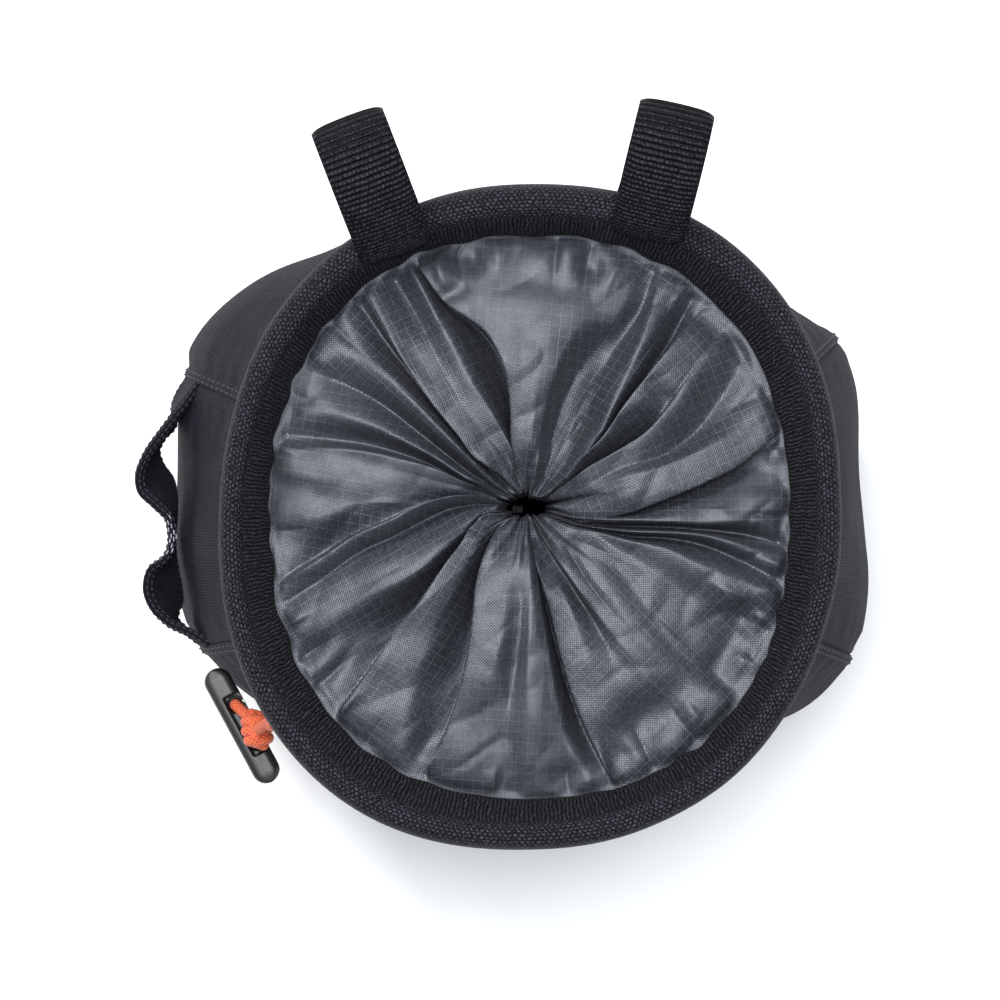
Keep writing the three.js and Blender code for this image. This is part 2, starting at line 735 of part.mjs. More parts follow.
function brushStrip() {
  const half = STRIP_THICKNESS / 2;
  const path = STRIP_ROWS.map((row) => {
    const azimuth = degrees(row.azimuth);
    const stand = half + CLEARANCE + STRIP_SEAM_RISE + row.stand * STRIP_STAND_DEPTH;
    const low = bodyPoint(azimuth, STRIP_MIDDLE_HEIGHT - STRIP_HEIGHT / 2, stand);
    const sloped = bodyPoint(azimuth, STRIP_MIDDLE_HEIGHT + STRIP_HEIGHT / 2, stand);
    const upright = low.clone().setZ(sloped.z);
    const high = sloped.lerp(upright, Math.min(row.stand * STRIP_UPRIGHT_SHARE, 1));
    return { low, high };
  });
  const sections = path.map(({ low, high }, index) => {
    const before = path[Math.max(index - 1, 0)].high;
    const after = path[Math.min(index + 1, path.length - 1)].high;
    const normal = new THREE.Vector3(after.y - before.y, before.x - after.x, 0).normalize();
    const shift = (point, side) => point.clone().addScaledVector(normal, side * half);
    return [shift(low, -1), shift(high, -1), shift(high, 1), shift(low, 1)];
  });
  return barGeometry(sections);
}

// Cord, knot and handle

function cordEyelet() {
  const shape = circleShape(EYELET_DIAMETER, EYELET_SIDES);
  const points = circleShape(EYELET_HOLE, EYELET_SIDES).getPoints();
  shape.holes.push(new THREE.Path(points));
  const geometry = new THREE.ExtrudeGeometry(shape, { depth: EYELET_THICKNESS, bevelEnabled: false });
  const centre = bodyPoint(degrees(CORD_AZIMUTH), EXIT_HEIGHT);
  const low = bodyPoint(degrees(CORD_AZIMUTH), EXIT_HEIGHT - EYELET_DIAMETER / 2);
  const high = bodyPoint(degrees(CORD_AZIMUTH), EXIT_HEIGHT + EYELET_DIAMETER / 2);
  const turn = degrees(2);
  const left = bodyPoint(degrees(CORD_AZIMUTH) - turn, EXIT_HEIGHT);
  const right = bodyPoint(degrees(CORD_AZIMUTH) + turn, EXIT_HEIGHT);
  const normal = new THREE.Vector3().crossVectors(right.sub(left), high.sub(low)).normalize();
  geometry.applyQuaternion(new THREE.Quaternion().setFromUnitVectors(new THREE.Vector3(0, 0, 1), normal));
  const place = centre.addScaledVector(normal, 2 * CLEARANCE);
  geometry.translate(place.x, place.y, place.z);
  return geometry;
}

function pullCord() {
  const points = CORD_ROUTE.map(([x, y, z]) => new THREE.Vector3(x, y, z));
  return tubeGeometry(points, CORD_DIAMETER, CORD_SIDES, 12);
}

function handleFrame() {
  const along = HANDLE_HEADING.clone().normalize();
  const up = new THREE.Vector3(0, 0, 1);
  const outward = new THREE.Vector3().crossVectors(along, up).normalize();
  return { along, outward, up };
}

// A point on the axis of one of the two sockets, above the handle's underside.
function socketPoint(side, height) {
  const { along, outward, up } = handleFrame();
  return HANDLE_CENTRE.clone()
    .addScaledVector(along, (side * SOCKET_SPACING) / 2)
    .addScaledVector(outward, -SOCKET_INSET)
    .addScaledVector(up, height - HANDLE_HEIGHT / 2);
}

function pullHandle() {
  const { along, outward, up } = handleFrame();
  const half = HANDLE_WIDTH / 2 - HANDLE_BEVEL;
  const straight = HANDLE_LENGTH / 2 - HANDLE_WIDTH / 2;
  const shape = new THREE.Shape();
  shape.moveTo(-straight, -half);
  shape.lineTo(straight, -half);
  shape.absarc(straight, 0, half, -Math.PI / 2, Math.PI / 2, false);
  shape.lineTo(-straight, half);
  shape.absarc(-straight, 0, half, Math.PI / 2, (3 * Math.PI) / 2, false);
  const bar = new THREE.ExtrudeGeometry(shape, {
    depth: HANDLE_HEIGHT - 2 * HANDLE_BEVEL,
    bevelEnabled: true,
    bevelThickness: HANDLE_BEVEL,
    bevelSize: HANDLE_BEVEL,
    bevelSegments: 2,
    curveSegments: 6,
  });
  bar.translate(0, 0, -HANDLE_HEIGHT / 2 + HANDLE_BEVEL);
  let solid = toSolid(bar);
  const recess = new THREE.BoxGeometry(RECESS_LENGTH, HANDLE_WIDTH, HANDLE_HEIGHT);
  recess.translate(0, BRIDGE_WIDTH, HANDLE_HEIGHT - RECESS_DEPTH);
  solid = solid.subtract(toSolid(recess));
  for (const side of [-1, 1]) {
    const radius = SOCKET_DIAMETER / 2;
    const socket = new THREE.CylinderGeometry(radius, radius, HANDLE_HEIGHT, SOCKET_SIDES);
    socket.rotateX(Math.PI / 2);
    const height = HANDLE_HEIGHT - RECESS_DEPTH - SOCKET_DEPTH;
    socket.translate((side * SOCKET_SPACING) / 2, SOCKET_INSET, height);
    solid = solid.subtract(toSolid(socket));
  }
  const geometry = toGeometry(solid);
  geometry.applyMatrix4(new THREE.Matrix4().makeBasis(along, outward.negate(), up));
  geometry.translate(HANDLE_CENTRE.x, HANDLE_CENTRE.y, HANDLE_CENTRE.z);
  return geometry;
}

function cordKnot() {
  const core = new THREE.SphereGeometry(KNOT_SIZE * 0.36, 8, 6);
  let solid = toSolid(core);
  const turns = [
    { tiltX: 20, tiltY: 0, offset: -0.18 },
    { tiltX: -35, tiltY: 30, offset: 0.05 },
    { tiltX: 70, tiltY: -25, offset: 0.12 },
  ];
  for (const { tiltX, tiltY, offset } of turns) {
    const wrap = new THREE.TorusGeometry((KNOT_SIZE - CORD_DIAMETER) / 2, CORD_DIAMETER / 2, 6, 12);
    wrap.rotateX(degrees(tiltX));
    wrap.rotateY(degrees(tiltY));
    wrap.translate(0, 0, offset * KNOT_SIZE);
    solid = solid.add(toSolid(wrap));
  }
  for (const side of [-1, 1]) {
    const floor = HANDLE_HEIGHT - RECESS_DEPTH - SOCKET_DEPTH;
    const end = socketPoint(side, floor + CLEARANCE * 2).sub(KNOT_CENTRE);
    const mouth = socketPoint(side, floor + SOCKET_DEPTH + CORD_DIAMETER * 0.6).sub(KNOT_CENTRE);
    const middle = mouth.clone().multiplyScalar(0.6);
    const leg = tubeGeometry([new THREE.Vector3(), middle, mouth, end], CORD_DIAMETER, CORD_SIDES, 7);
    solid = solid.add(toSolid(leg));
  }
  const geometry = toGeometry(solid);
  geometry.translate(KNOT_CENTRE.x, KNOT_CENTRE.y, KNOT_CENTRE.z);
  return geometry;
}

// Materials

const nylon = new THREE.MeshStandardMaterial({ color: 0x37323f, roughness: 0.85, metalness: 0 });
const webbing = new THREE.MeshStandardMaterial({ color: 0x2a2932, roughness: 0.8, metalness: 0 });
const ripstop = new THREE.MeshStandardMaterial({ color: 0x5c5f68, roughness: 0.5, metalness: 0 });
const orangeCord = new THREE.MeshStandardMaterial({ color: 0xdb7250, roughness: 0.8, metalness: 0 });
const blackPlastic = new THREE.MeshStandardMaterial({ color: 0x303034, roughness: 0.5, metalness: 0 });

// Assembly

const bag = new THREE.Group();

function addPart(name, geometry, material) {
  const mesh = new THREE.Mesh(geometry, material);
  mesh.name = name;
  bag.add(mesh);
}

for (const side of SIDES) addPart(side.name, bodyPanel(side), nylon);
addPart("base_panel", basePanel(), nylon);
addPart("rim_roll", rimRoll(), webbing);
addPart("rim_facing", rimFacing(), webbing);
addPart("collar", collar(), ripstop);
for (const loop of LOOPS) addPart(loop.name, beltLoop(loop), webbing);
addPart("brush_strip", brushStrip(), nylon);
addPart("cord_eyelet", cordEyelet(), blackPlastic);
addPart("pull_cord", pullCord(), orangeCord);
addPart("cord_knot", cordKnot(), orangeCord);
addPart("pull_handle", pullHandle(), blackPlastic);

export default bag;
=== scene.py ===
"""Climbing chalk bag, seen from straight above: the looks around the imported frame.

Shapes are worked out in millimetres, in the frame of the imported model. They become metres when a
mesh is made.
"""

import math
from functools import partialmethod

import bpy
import numpy as np
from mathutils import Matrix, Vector


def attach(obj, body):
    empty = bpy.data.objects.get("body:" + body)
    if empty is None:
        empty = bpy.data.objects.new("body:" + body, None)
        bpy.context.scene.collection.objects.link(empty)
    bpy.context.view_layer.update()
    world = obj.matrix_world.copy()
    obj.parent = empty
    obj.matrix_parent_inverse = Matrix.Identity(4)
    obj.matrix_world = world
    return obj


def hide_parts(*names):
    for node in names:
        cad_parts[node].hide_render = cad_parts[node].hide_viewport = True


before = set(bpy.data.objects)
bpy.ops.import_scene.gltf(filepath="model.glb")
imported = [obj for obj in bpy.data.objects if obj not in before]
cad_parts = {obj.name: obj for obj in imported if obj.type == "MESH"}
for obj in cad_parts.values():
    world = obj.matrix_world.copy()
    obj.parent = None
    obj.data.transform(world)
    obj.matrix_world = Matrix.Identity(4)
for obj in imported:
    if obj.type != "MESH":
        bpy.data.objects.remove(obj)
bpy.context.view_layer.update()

MM = 0.001
TURN = 2 * math.pi
DEGREE = math.pi / 180

# Body sizes. Azimuths run anticlockwise from the right side, in degrees.
BAG_HEIGHT = 150
WALL = 2
WIDEST_HALF_WIDTH = 74.6
WIDEST_BACK_DEPTH = 55
WIDEST_FRONT_DEPTH = 50
BACK_LEFT_EXTRA_DEPTH = 5.6
BASE_HALF_WIDTH = 66
BASE_HALF_DEPTH = 46
SQUARENESS_LEFT = 3
SQUARENESS_RIGHT = 4
SLACK_DEPTH = 4
FELL_WIDTH = 2.2
FELL_HEIGHT = 0.5
SEAM_UNDERLAP = 1.6
UNDERLAP_DEPTH = 0.45
SEAM_PUCKER = 0.16
SEAM_PUCKER_PITCH = 9.5
GATHER_DEPTH = 0.25
DRAPE_DEPTH = 0.75
FINE_DRAPE_DEPTH = 0.1
SIDES = [
    {"name": "back_panel", "start": 28, "end": 158.4, "felled": True},
    {"name": "left_side_panel", "start": 158.4, "end": 203, "felled": False},
    {"name": "front_panel", "start": 203, "end": 336.4, "felled": True},
    {"name": "right_side_panel", "start": 336.4, "end": 388, "felled": False},
]

# Rim sizes
RIM_CENTRE_X = 1.9
RIM_CENTRE_Y = -1.25
RIM_HALF_WIDTH = 62.8
RIM_HALF_DEPTH = 66.8
RIM_SQUARENESS = 2.2
RIM_SKEW_SHARE = 0.015
RIM_SKEW_AZIMUTH = 50
ROLL_HEIGHT = 11
ROLL_SQUARENESS = 2.6
ROLL_SWAY = 0.16
THREAD_PAIR = 1.64
ROLL_WIDTH_SIDE = 5.4
ROLL_WIDTH_FRONT = 6
ROLL_WIDTH_BACK = 7.4
PANEL_TUCK = 0.8
FELLED_COLUMNS = [0, 0.12, 0.35, 0.8, 1.4, 1.9, 2.15, 2.35, 2.6, 3.1, 4.0, 5.2]
PLAIN_COLUMNS = [-SEAM_UNDERLAP, -0.8, -0.2, 0.2, 0.6, 1.2, 2.0, 3.0, 4.2, 5.4]
FACING_THICKNESS = 1.4
FACING_WIDTH = 14
FACING_TOP_DROP = 1.8
FACING_SLOPE_DROP = 5
FACING_UNDERLAP = 0.9
FACING_WANDER = 0.3
FACING_WAVE = 0.22
CLEARANCE = 0.3
WALL_TOP = BAG_HEIGHT - ROLL_HEIGHT - CLEARANCE

# Collar sizes
OPENING_HALF_WIDTH = 52.5
OPENING_HALF_DEPTH = 56.8
OPENING_SQUARENESS = 2.25
MOUTH_X = RIM_CENTRE_X - 0.6
MOUTH_Y = RIM_CENTRE_Y + 2
MOUTH_HALF_WIDTH = 6.4
MOUTH_HALF_DEPTH = 2.7
COLLAR_EDGE_HEIGHT = BAG_HEIGHT - FACING_TOP_DROP - FACING_SLOPE_DROP - FACING_THICKNESS - CLEARANCE
COLLAR_PUFF = 4.5
COLLAR_TUCK = 2.5
EDGE_DIP = 0.7
THROAT_DEPTH = 9
THROAT_NARROWING = 0.3
MOUTH_PLEATING = 0.24
CREST_SHARE = 1.5
VALLEY_SHARE = 3.1
OVERHANG = 2.1
FOLD_SHARPNESS = 0.2
PLEATS = 17
PLEAT_HEIGHT = 0.8
PUCKERS = 34
PUCKER_HEIGHT = 1.1
MOUTH_SINK = 3.0
BROAD_WRINKLES = 0.36
FINE_WRINKLES = 0.1
RADIAL_CREASES = 0.5
SOFT_CREASES = 0.32
COLLAR_COLUMNS = 900
COLLAR_ROWS = 104

# Radii at which the way round the bag is measured for the weaves and the wrinkles
ROLL_RADIUS = 60
PANEL_RADIUS = 62
FACING_WEAVE_RADIUS = 56
FACING_RIPPLE_RADIUS = 55

# Hollows (positive) and small ears (negative, steeper on one side) of the collar: azimuth, radius,
# spread round, spread outwards and depth
DIMPLES = [
    (120, 48, 3, 7, 2), (103, 52, 4, 3, 1.8), (147, 40, 5, 9, 1.2), (76, 50.5, 2.5, 3, 1.8),
    (44, 52, 5, 3, 2.4), (30, 47, 3, 6, 1), (328, 50, 3, 7, 1.4), (318, 53, 3, 3, 1.4),
    (298, 50, 8, 4, 2.8), (291, 54, 2, 3, 1.4), (277, 55, 7, 3, 2.2), (247, 52, 2.5, 3, 1.8),
    (240, 40, 3, 4, 1), (213, 52, 3, 3, 1.5), (189, 49, 4, 3, 1.2), (175, 50, 3, 4, 1),
    (158, 52, 3, 3, 1.4), (8, 49, 3, 4, 1.2), (356, 52, 2.5, 3, 1.4), (86, 54, 3, 2.5, 1.3),
    (62, 53, 2.5, 3, 1.3), (108, 51, 2.2, 3.5, -2.2), (100.5, 51, 1.6, 3, 2), (107, 45.5, 3, 1.6, 1.6),
    (73.6, 49.5, 1.6, 3, 2), (69.5, 50.5, 1.8, 3, -1.2), (48.3, 42.4, 1.2, 2.6, 1.4),
    (37, 55, 3, 2.5, 2.2), (39, 35, 2.6, 2.2, 2), (51, 18, 1.4, 2.4, -1.6), (57, 19.5, 1.1, 2.4, 1.6),
    (10, 19.5, 1.4, 4, -1.3), (195, 8, 1.1, 2.6, -1.3), (215, 11, 1, 3, -1.1), (238, 10, 1, 3, -1.3),
    (261, 9, 1.1, 2.6, -1.5), (286, 11, 0.9, 3.4, -1.3), (318, 12, 1.1, 3, -1.2), (345, 9, 0.9, 3, -1),
    (28, 11, 1, 3, -1.2), (76, 10, 1, 3, -1.2), (101, 9, 0.9, 2.6, -1.2), (128, 11, 1.1, 3, -1.3),
    (158, 12, 1, 3, -1.1), (258, 43, 2.6, 6.5, 1.7), (283, 44, 2.2, 6, 1.2), (305, 47, 9, 3.6, 1.8),
    (233, 46, 3, 5, 1.2), (215, 44, 3, 6, 1.2), (282, 31, 2.2, 4, -0.9), (337, 44, 2.4, 3.4, -1.7),
    (334, 48.5, 2.4, 2.2, 1.9), (334.5, 52, 1.6, 2.2, -1.1), (322, 50, 6.5, 2.6, 2.1),
    (300.6, 24, 0.8, 2.6, 1.3), (173, 47, 2.4, 5, -1.1), (178, 38, 2.2, 7, 1), (166, 35, 1.6, 8, 0.8),
    (148, 29, 2.2, 6, 0.9), (206, 40, 2.6, 6, 1), (264, 30, 1.6, 6, 0.9), (276, 50, 3.2, 4, 1.4),
    (311, 30, 2.4, 6, 0.9), (318, 40, 2.2, 6, -0.9), (302, 38, 2, 7, 0.8), (22, 44, 2.2, 6, 1),
    (90, 32, 2.2, 7, -0.6), (83, 45, 7, 2.6, 0.9), (126, 38, 1.8, 8, 0.9), (145, 51.5, 1.8, 3, -1.5),
    (96, 51.5, 1.4, 3, -1), (82, 52, 1.8, 3, -0.9), (54, 52, 1.6, 3, -1.1), (13, 52.5, 1.8, 3, -1.6),
    (350, 53, 1.6, 3, -1.2), (341, 52.5, 1.8, 4, -1.5), (325, 54, 1.4, 2.5, -1.2),
    (309, 54, 1.6, 3, -1.2), (287.5, 56, 1.4, 3, -1.4), (263, 56, 1.6, 3, -1.1),
    (251, 55.5, 1.4, 3, -1.2), (229.5, 55, 2, 4, -2.2), (250, 54.5, 1.8, 4, -2), (288, 54.5, 2, 5, -2.2),
    (316, 53, 1.8, 4, -1.8), (347, 52, 1.8, 4, -1.6), (206, 52, 1.8, 3, -1.1), (196, 52, 1.4, 3, -1.2),
    (168, 50.5, 1.6, 3, -1.2),
]

# Belt loops and brush strip
LOOP_WIDTH = 15
LOOP_THICKNESS = 1.5
LOOP_REACH = 18
LOOP_RISE = 18
LOOP_RIB = 1.2
RIB_HEIGHT = 0.13
LOOP_CUP = 0.35
BOX_SHARES = (0.83, 0.975)
BOX_HALF_WIDTH = 6
LOOPS = [
    {"name": "belt_loop_left", "azimuth": 116, "heading": 111, "reach": 19.8},
    {"name": "belt_loop_right", "azimuth": 68.5, "heading": 77, "reach": 18},
]
STRIP_HEIGHT = 17
STRIP_THICKNESS = 1.5
STRIP_MIDDLE_HEIGHT = 100
STRIP_STAND_DEPTH = 7.2
STRIP_SEAM_RISE = 0.2
STRIP_UPRIGHT_SHARE = 1.6

# Pale stitches on the strip's top fold between its loops: azimuth and distance from its middle
BARTACK_STITCHES = [
    (181.2, -0.5), (181.9, 0.3), (182.6, -0.2), (183.1, 0.5), (183.7, -0.5), (184.2, 0.1), (184.7, -0.4),
    (185.1, 0.4), (185.8, -0.1), (186.4, -0.5), (187, 0.3),
]
BARTACK_AZIMUTH = 184.4

# Closing cord, knot and pull handle
CORD_DIAMETER = 2.5
CORD_AZIMUTH = 219
EXIT_HEIGHT = 134.8
EYELET_DIAMETER = 7
EYELET_HOLE = 4.4
EYELET_THICKNESS = 0.8
KNOT_SIZE = 7
HANDLE_LENGTH = 27
HANDLE_WIDTH = 5.8
HANDLE_HEIGHT = 7
BRIDGE_WIDTH = 2.2
RECESS_LENGTH = 14
RECESS_DEPTH = 3.6
SOCKET_SPACING = 9
SOCKET_DIAMETER = 3.6
SOCKET_DEPTH = 2.2
SOCKET_INSET = 1
KNOT_CENTRE = Vector((-55.3, -46.3, 101.4))
HANDLE_CENTRE = Vector((-59, -45.9, 92))
HANDLE_HEADING = Vector((60, -111, 0)).normalized()
CORD_ROUTE = [
    (-49.4, -42.8, 134.9), (-49.9, -43.2, 134.1), (-50.6, -43.6, 132.6), (-50.8, -43.8, 130.8),
    (-50.6, -43.6, 128.7), (-50.3, -43.2, 126.4), (-50.1, -43, 124), (-50.1, -42.9, 121.6),
    (-50.4, -43.1, 119.2), (-50.9, -43.3, 116.9), (-51.4, -43.6, 114.7), (-52, -44, 112.5),
    (-52.8, -44.4, 110.4), (-53.6, -45, 108.5), (-54.8, -45.9, 106),
]

# Camera: it looks straight down from above the rim
CAMERA_X = -4.1
CAMERA_Y = 2.15
CAMERA_HEIGHT = 900
FIELD_AT_RIM = 200
SENSOR_WIDTH = 36

# Lamps above the bag, and the floor that it stands on
LAMP_TARGET = (0, 0, 0.12)
LAMPS = [
    {"name": "key", "at": (-0.55, 0.8, 1.45), "size": 0.4, "power": 24, "colour": (1.0, 0.99, 0.98)},
    {"name": "overhead", "at": (0.03, 0.1, 1.7), "size": 0.5, "power": 34, "colour": (0.93, 0.965, 1.0)},
]
FLOOR_HALF_WIDTH = 3000

# Weights of the rim, widest and base outlines up the body, level being a share of the wall's height
BODY_ROWS = {
    "level": [0.00, 0.03, 0.09, 0.21, 0.37, 0.54, 0.66, 0.77, 0.86, 0.94, 1.00],
    "rim": [0, 0, 0, 0, 0, 0, 0.07, 0.27, 0.57, 0.85, 1.00],
    "widest": [0.00, 0.10, 0.34, 0.62, 0.88, 1.00, 0.93, 0.73, 0.43, 0.15, 0],
    "base": [1.00, 0.90, 0.66, 0.38, 0.12, 0.00, 0, 0, 0, 0, 0],
    "tuck": [1.6, 0.2, 0, 0, 0, 0, 0, 0, 0, 0, 0],
}

# Hollows (positive) and bulges (negative) of the slack cloth: azimuth and spread in degrees, level and
# rise as shares of the wall's height, and depth as a share of SLACK_DEPTH
BODY_DENTS = [
    (265, 30, 0.62, 0.2, 0.7), (290, 22, 0.24, 0.14, -0.4), (240, 14, 0.3, 0.12, 0.5),
    (100, 32, 0.52, 0.22, 0.8), (135, 12, 0.66, 0.12, -0.3), (60, 16, 0.34, 0.14, -0.4),
    (6, 9, 0.68, 0.11, 0.5), (352, 12, 0.3, 0.13, 0.4), (178, 13, 0.26, 0.12, 0.5),
    (219, 9, 0.9, 0.13, 0.75), (210, 7, 0.67, 0.11, 0.6), (175, 9, 0.7, 0.13, 0.5),
    (194, 7, 0.7, 0.13, 0.55),
]

# Creases and folds of the collar, anticlockwise. A crease is a deep valley that parts two faces of
# the cloth, with its sharpness. A fold is a crest or a shallow valley, with the way that it leans.
# Then come the azimuths in degrees and the heights in millimetres, at the radii in FOLD_RADII from
# the mouth's centre.
FOLD_RADII = [8, 14, 20, 28, 36, 44, 53]
FOLDS = [
    ("crease", 0.7, [-6, -3, 0, 5.5, 9, 11.5, 16], [-1, -2, -2.4, -2.4, -2.2, -1.7, -0.8]),
    ("fold", -0.9, [-4, -1, 1.8, 7.2, 10.7, 13.2, 17.6], [0.4, 1.3, 1.7, 1.8, 1.6, 1.4, 0.6]),
    ("fold", 0, [10, 14, 16, 16, 17, 19, 22], [1.5, 2.5, 3, 2.9, 2.5, 2, 1]),
    ("fold", 0, [16, 21, 22.5, 21, 23, 28, 34], [1.2, 2, 1.8, 0.6, -0.9, -1.1, -0.7]),
    ("fold", 0.7, [21, 27, 27.8, 29, 33, 37, 40], [1.5, 2.4, 2.8, 2.6, 2.3, 2.1, 1]),
    ("crease", 0.7, [24, 30, 30.8, 31.8, 36.6, 40, 42], [-1.6, -2.4, -2.8, -2, 0.9, 1.7, 0.8]),
    ("fold", 0.7, [27, 36, 38.4, 43.2, 45, 46, 44.6], [0.4, 1.4, 2, 3, 3, 2.6, 1.1]),
    ("crease", 0.9, [30, 38, 40.4, 45.2, 47.2, 49, 51.5], [-1.4, -2.4, -2.8, -2.4, -2, -1.8, -1.2]),
    ("fold", 0, [34, 40.5, 44.5, 50.5, 53.5, 56.5, 60], [0.2, 1, 1.9, 2.9, 3, 2.4, 1]),
    ("fold", 0, [45, 50, 54, 60, 61, 60, 61.5], [-0.6, -1.1, -1.6, -1.5, -1.6, -0.9, -0.2]),
    ("crease", 0, [58, 67, 70, 69, 66, 65, 66], [-1, -1.6, -2.3, -2.6, -1.3, 0.9, 0.5]),
    ("fold", 0, [72, 79, 80, 79, 76, 73, 72], [1, 1.9, 2.4, 2.7, 2.7, 2.2, 0.9]),
    ("fold", 0, [80, 86, 86.5, 87, 86, 86, 86], [1.8, 3, 3.3, 3.5, 3.5, 2.9, 1.2]),
    ("fold", 1, [91, 95.2, 94, 94.8, 99.5, 108.5, 112], [1.2, 2.4, 2.8, 2.9, 2.7, 2.1, 0.8]),
    ("crease", 0, [94, 97.8, 96.8, 98, 103, 110.8, 114], [-1.8, -3, -4, -4.2, -3.4, -1.8, -0.4]),
    ("fold", 0, [98, 106, 110.5, 114.5, 115, 115.5, 116], [0, 0.9, 1.6, 2.2, 2.3, 2, 0.9]),
    ("fold", 0, [106, 117, 121, 122, 121, 120, 120], [-0.2, 0.5, 1.1, 1.3, 0.6, -0.6, -0.9]),
    ("fold", 0.5, [120, 132, 130.9, 130.4, 129, 127.4, 125.4], [1, 1.8, 2.2, 2.4, 2.4, 2.3, 1]),
    ("crease", 0.7, [133, 135.8, 133.8, 132.3, 131.1, 130.4, 129.4], [-1, -1.8, -2.2, -2.4, -2.4, -2.2, -1]),
    ("fold", 0, [142, 140, 138.6, 137.6, 137, 137.6, 138], [0.8, 1.8, 2.4, 2.6, 2.6, 2.3, 1]),
    ("crease", 0.7, [150, 149, 147, 145.4, 144.6, 145.6, 148], [-1, -1.5, -1.7, -1.5, -1.2, -0.7, -0.2]),
    ("fold", 0, [154, 153.5, 151.8, 151.2, 151.6, 153.3, 155.5], [0, 0.5, 0.8, 1, 1.2, 1.2, 0.5]),
    ("fold", 0, [158, 158.5, 156.6, 157, 158.6, 161, 163], [-0.8, -1.4, -1.9, -2, -1.7, -1.3, -0.8]),
    ("fold", -0.5, [164, 162.6, 160.6, 161.6, 163.2, 165.4, 168], [0.4, 1.2, 1.8, 2, 2, 1.8, 0.8]),
    ("fold", 0, [167, 168.5, 170, 175, 178, 182, 184], [-0.4, 0.2, 0.5, 0.9, 1.2, 1.4, 0.6]),
    ("fold", 0, [169, 172.5, 177, 184.6, 188.4, 192.6, 196], [-0.4, -0.5, -0.5, -0.5, -1, -1.5, -0.8]),
    ("fold", -0.5, [171, 175, 180.4, 187.6, 191, 195.2, 198.5], [0.6, 1.6, 2.2, 2.4, 2.2, 1.8, 0.7]),
    ("crease", 0.7, [177, 181, 187, 192.5, 195, 198.8, 201.5], [-1, -1.6, -1.8, -1.5, -1, -0.7, -0.5]),
    ("fold", 0, [188, 201, 208, 210, 208.5, 207.5, 207], [0.8, 1.8, 2.3, 2.4, 2, 1.6, 0.7]),
    ("crease", 0.1, [194, 210, 216.4, 221.4, 224, 225.6, 227], [-1.4, -2.2, -2.8, -2.8, -2.4, -1.9, -0.8]),
    ("fold", -0.8, [200, 213.6, 219.8, 224.8, 226.8, 228.2, 229.4], [0.5, 1.4, 2, 2.2, 2.2, 2, 0.8]),
    ("fold", 0, [208, 220, 227, 231, 235, 239, 241], [0.3, 0.8, 1, 1.2, 1.4, 1.4, 0.7]),
    ("crease", 0.1, [223, 233, 241, 247.4, 249.8, 250.2, 249.4], [-1.4, -2.4, -3.2, -3.2, -2.6, -1.5, -0.5]),
    ("fold", -0.8, [229, 237, 244.4, 250.2, 252.2, 252.4, 251.2], [0.6, 1.8, 2.6, 2.8, 2.6, 2, 0.8]),
    ("fold", 0, [245, 252, 257, 258, 257, 257, 256], [2, 3, 3.4, 3.4, 3, 2.4, 1.1]),
    ("fold", 0, [260, 263.5, 266.5, 266.5, 265, 263.5, 263], [2, 2.8, 2.4, 1.6, 1, 0.9, 0.3]),
    ("fold", 0, [270, 272, 272, 271, 271, 271, 270], [1.8, 2.7, 3.1, 3.1, 2.9, 2.5, 1.1]),
    ("fold", 0, [275.5, 277.2, 277.6, 278, 278.2, 279, 282], [0.5, 1.1, 1.6, 1.9, 1.9, 1.6, 0.9]),
    ("crease", 0.7, [279, 280.4, 281.2, 282, 283, 284.4, 286.8], [-2, -2.8, -3.2, -3.4, -3, -2.2, -1]),
    ("fold", -0.6, [284, 285.5, 286.5, 285.6, 285.6, 286.8, 289], [-1.6, -1, 0.6, 2, 2.3, 2, 0.8]),
    ("fold", 0, [291, 292, 292.5, 291, 291, 292, 293], [-1.6, -1.3, 1.2, 2.7, 2.8, 2.2, 1]),
    ("fold", 0, [295, 298.5, 299.6, 300.2, 298, 298, 298], [-1.8, -1.6, -0.8, 0.8, 1.9, 1.4, 0.4]),
    ("fold", 0, [298, 301, 302.3, 304, 306, 306, 306], [0.8, 2, 2.6, 2.8, 2.8, 2.4, 1.1]),
    ("fold", 0, [312, 318, 316, 312, 311, 312, 312], [1.6, 2.8, 3, 2.8, 2.6, 2.2, 1]),
    ("fold", 0, [326, 334, 329, 322, 317.5, 316.5, 317], [1, 1.7, 1.3, 0.8, 0.6, 0.5, 0.2]),
    ("fold", 0, [332, 336.5, 334.5, 333, 331.5, 330, 328], [1.2, 1.5, 1.2, 0.9, 0.3, -0.5, -0.7]),
    ("fold", 0, [336, 340.2, 341.4, 343, 341, 340.6, 340], [0.6, 1.6, 2.1, 2.4, 2.4, 2.2, 1.1]),
    ("crease", 0.7, [338, 342, 343.8, 347.2, 347.8, 346.2, 344], [-1.4, -2.2, -2.4, -2.2, -1.8, -1.2, -0.6]),
    ("fold", 0, [340, 344, 346.6, 349.6, 351, 350, 348], [0.2, 1, 1.4, 1.6, 1.6, 1.2, 0.5]),
    ("crease", 0.7, [342.5, 346, 349, 351.6, 352.5, 352.8, 352], [-1.4, -2.2, -2.4, -2.4, -2.2, -1.9, -0.9]),
    ("fold", 0, [348, 350.5, 353, 354.4, 355, 356.5, 359], [0.8, 1.6, 2.2, 2.4, 2.2, 1.8, 0.8]),
]

# Path of a belt loop from the rim's inner groove, over the top and down the back of the bag. Out is
# a share of LOOP_REACH, up a share of LOOP_RISE, and a point without out is sewn on the panel.
LOOP_ROWS = [
    (-0.41, -0.28), (-0.39, -0.06), (-0.3, 0.16), (-0.12, 0.44), (0.15, 0.76), (0.43, 0.95), (0.7, 1),
    (0.9, 0.92), (0.98, 0.7), (0.9, 0.4), (0.64, -0.05), (0.34, -0.46), (0.13, -0.76), (None, -1.02),
    (None, -1.3), (None, -1.6),
]

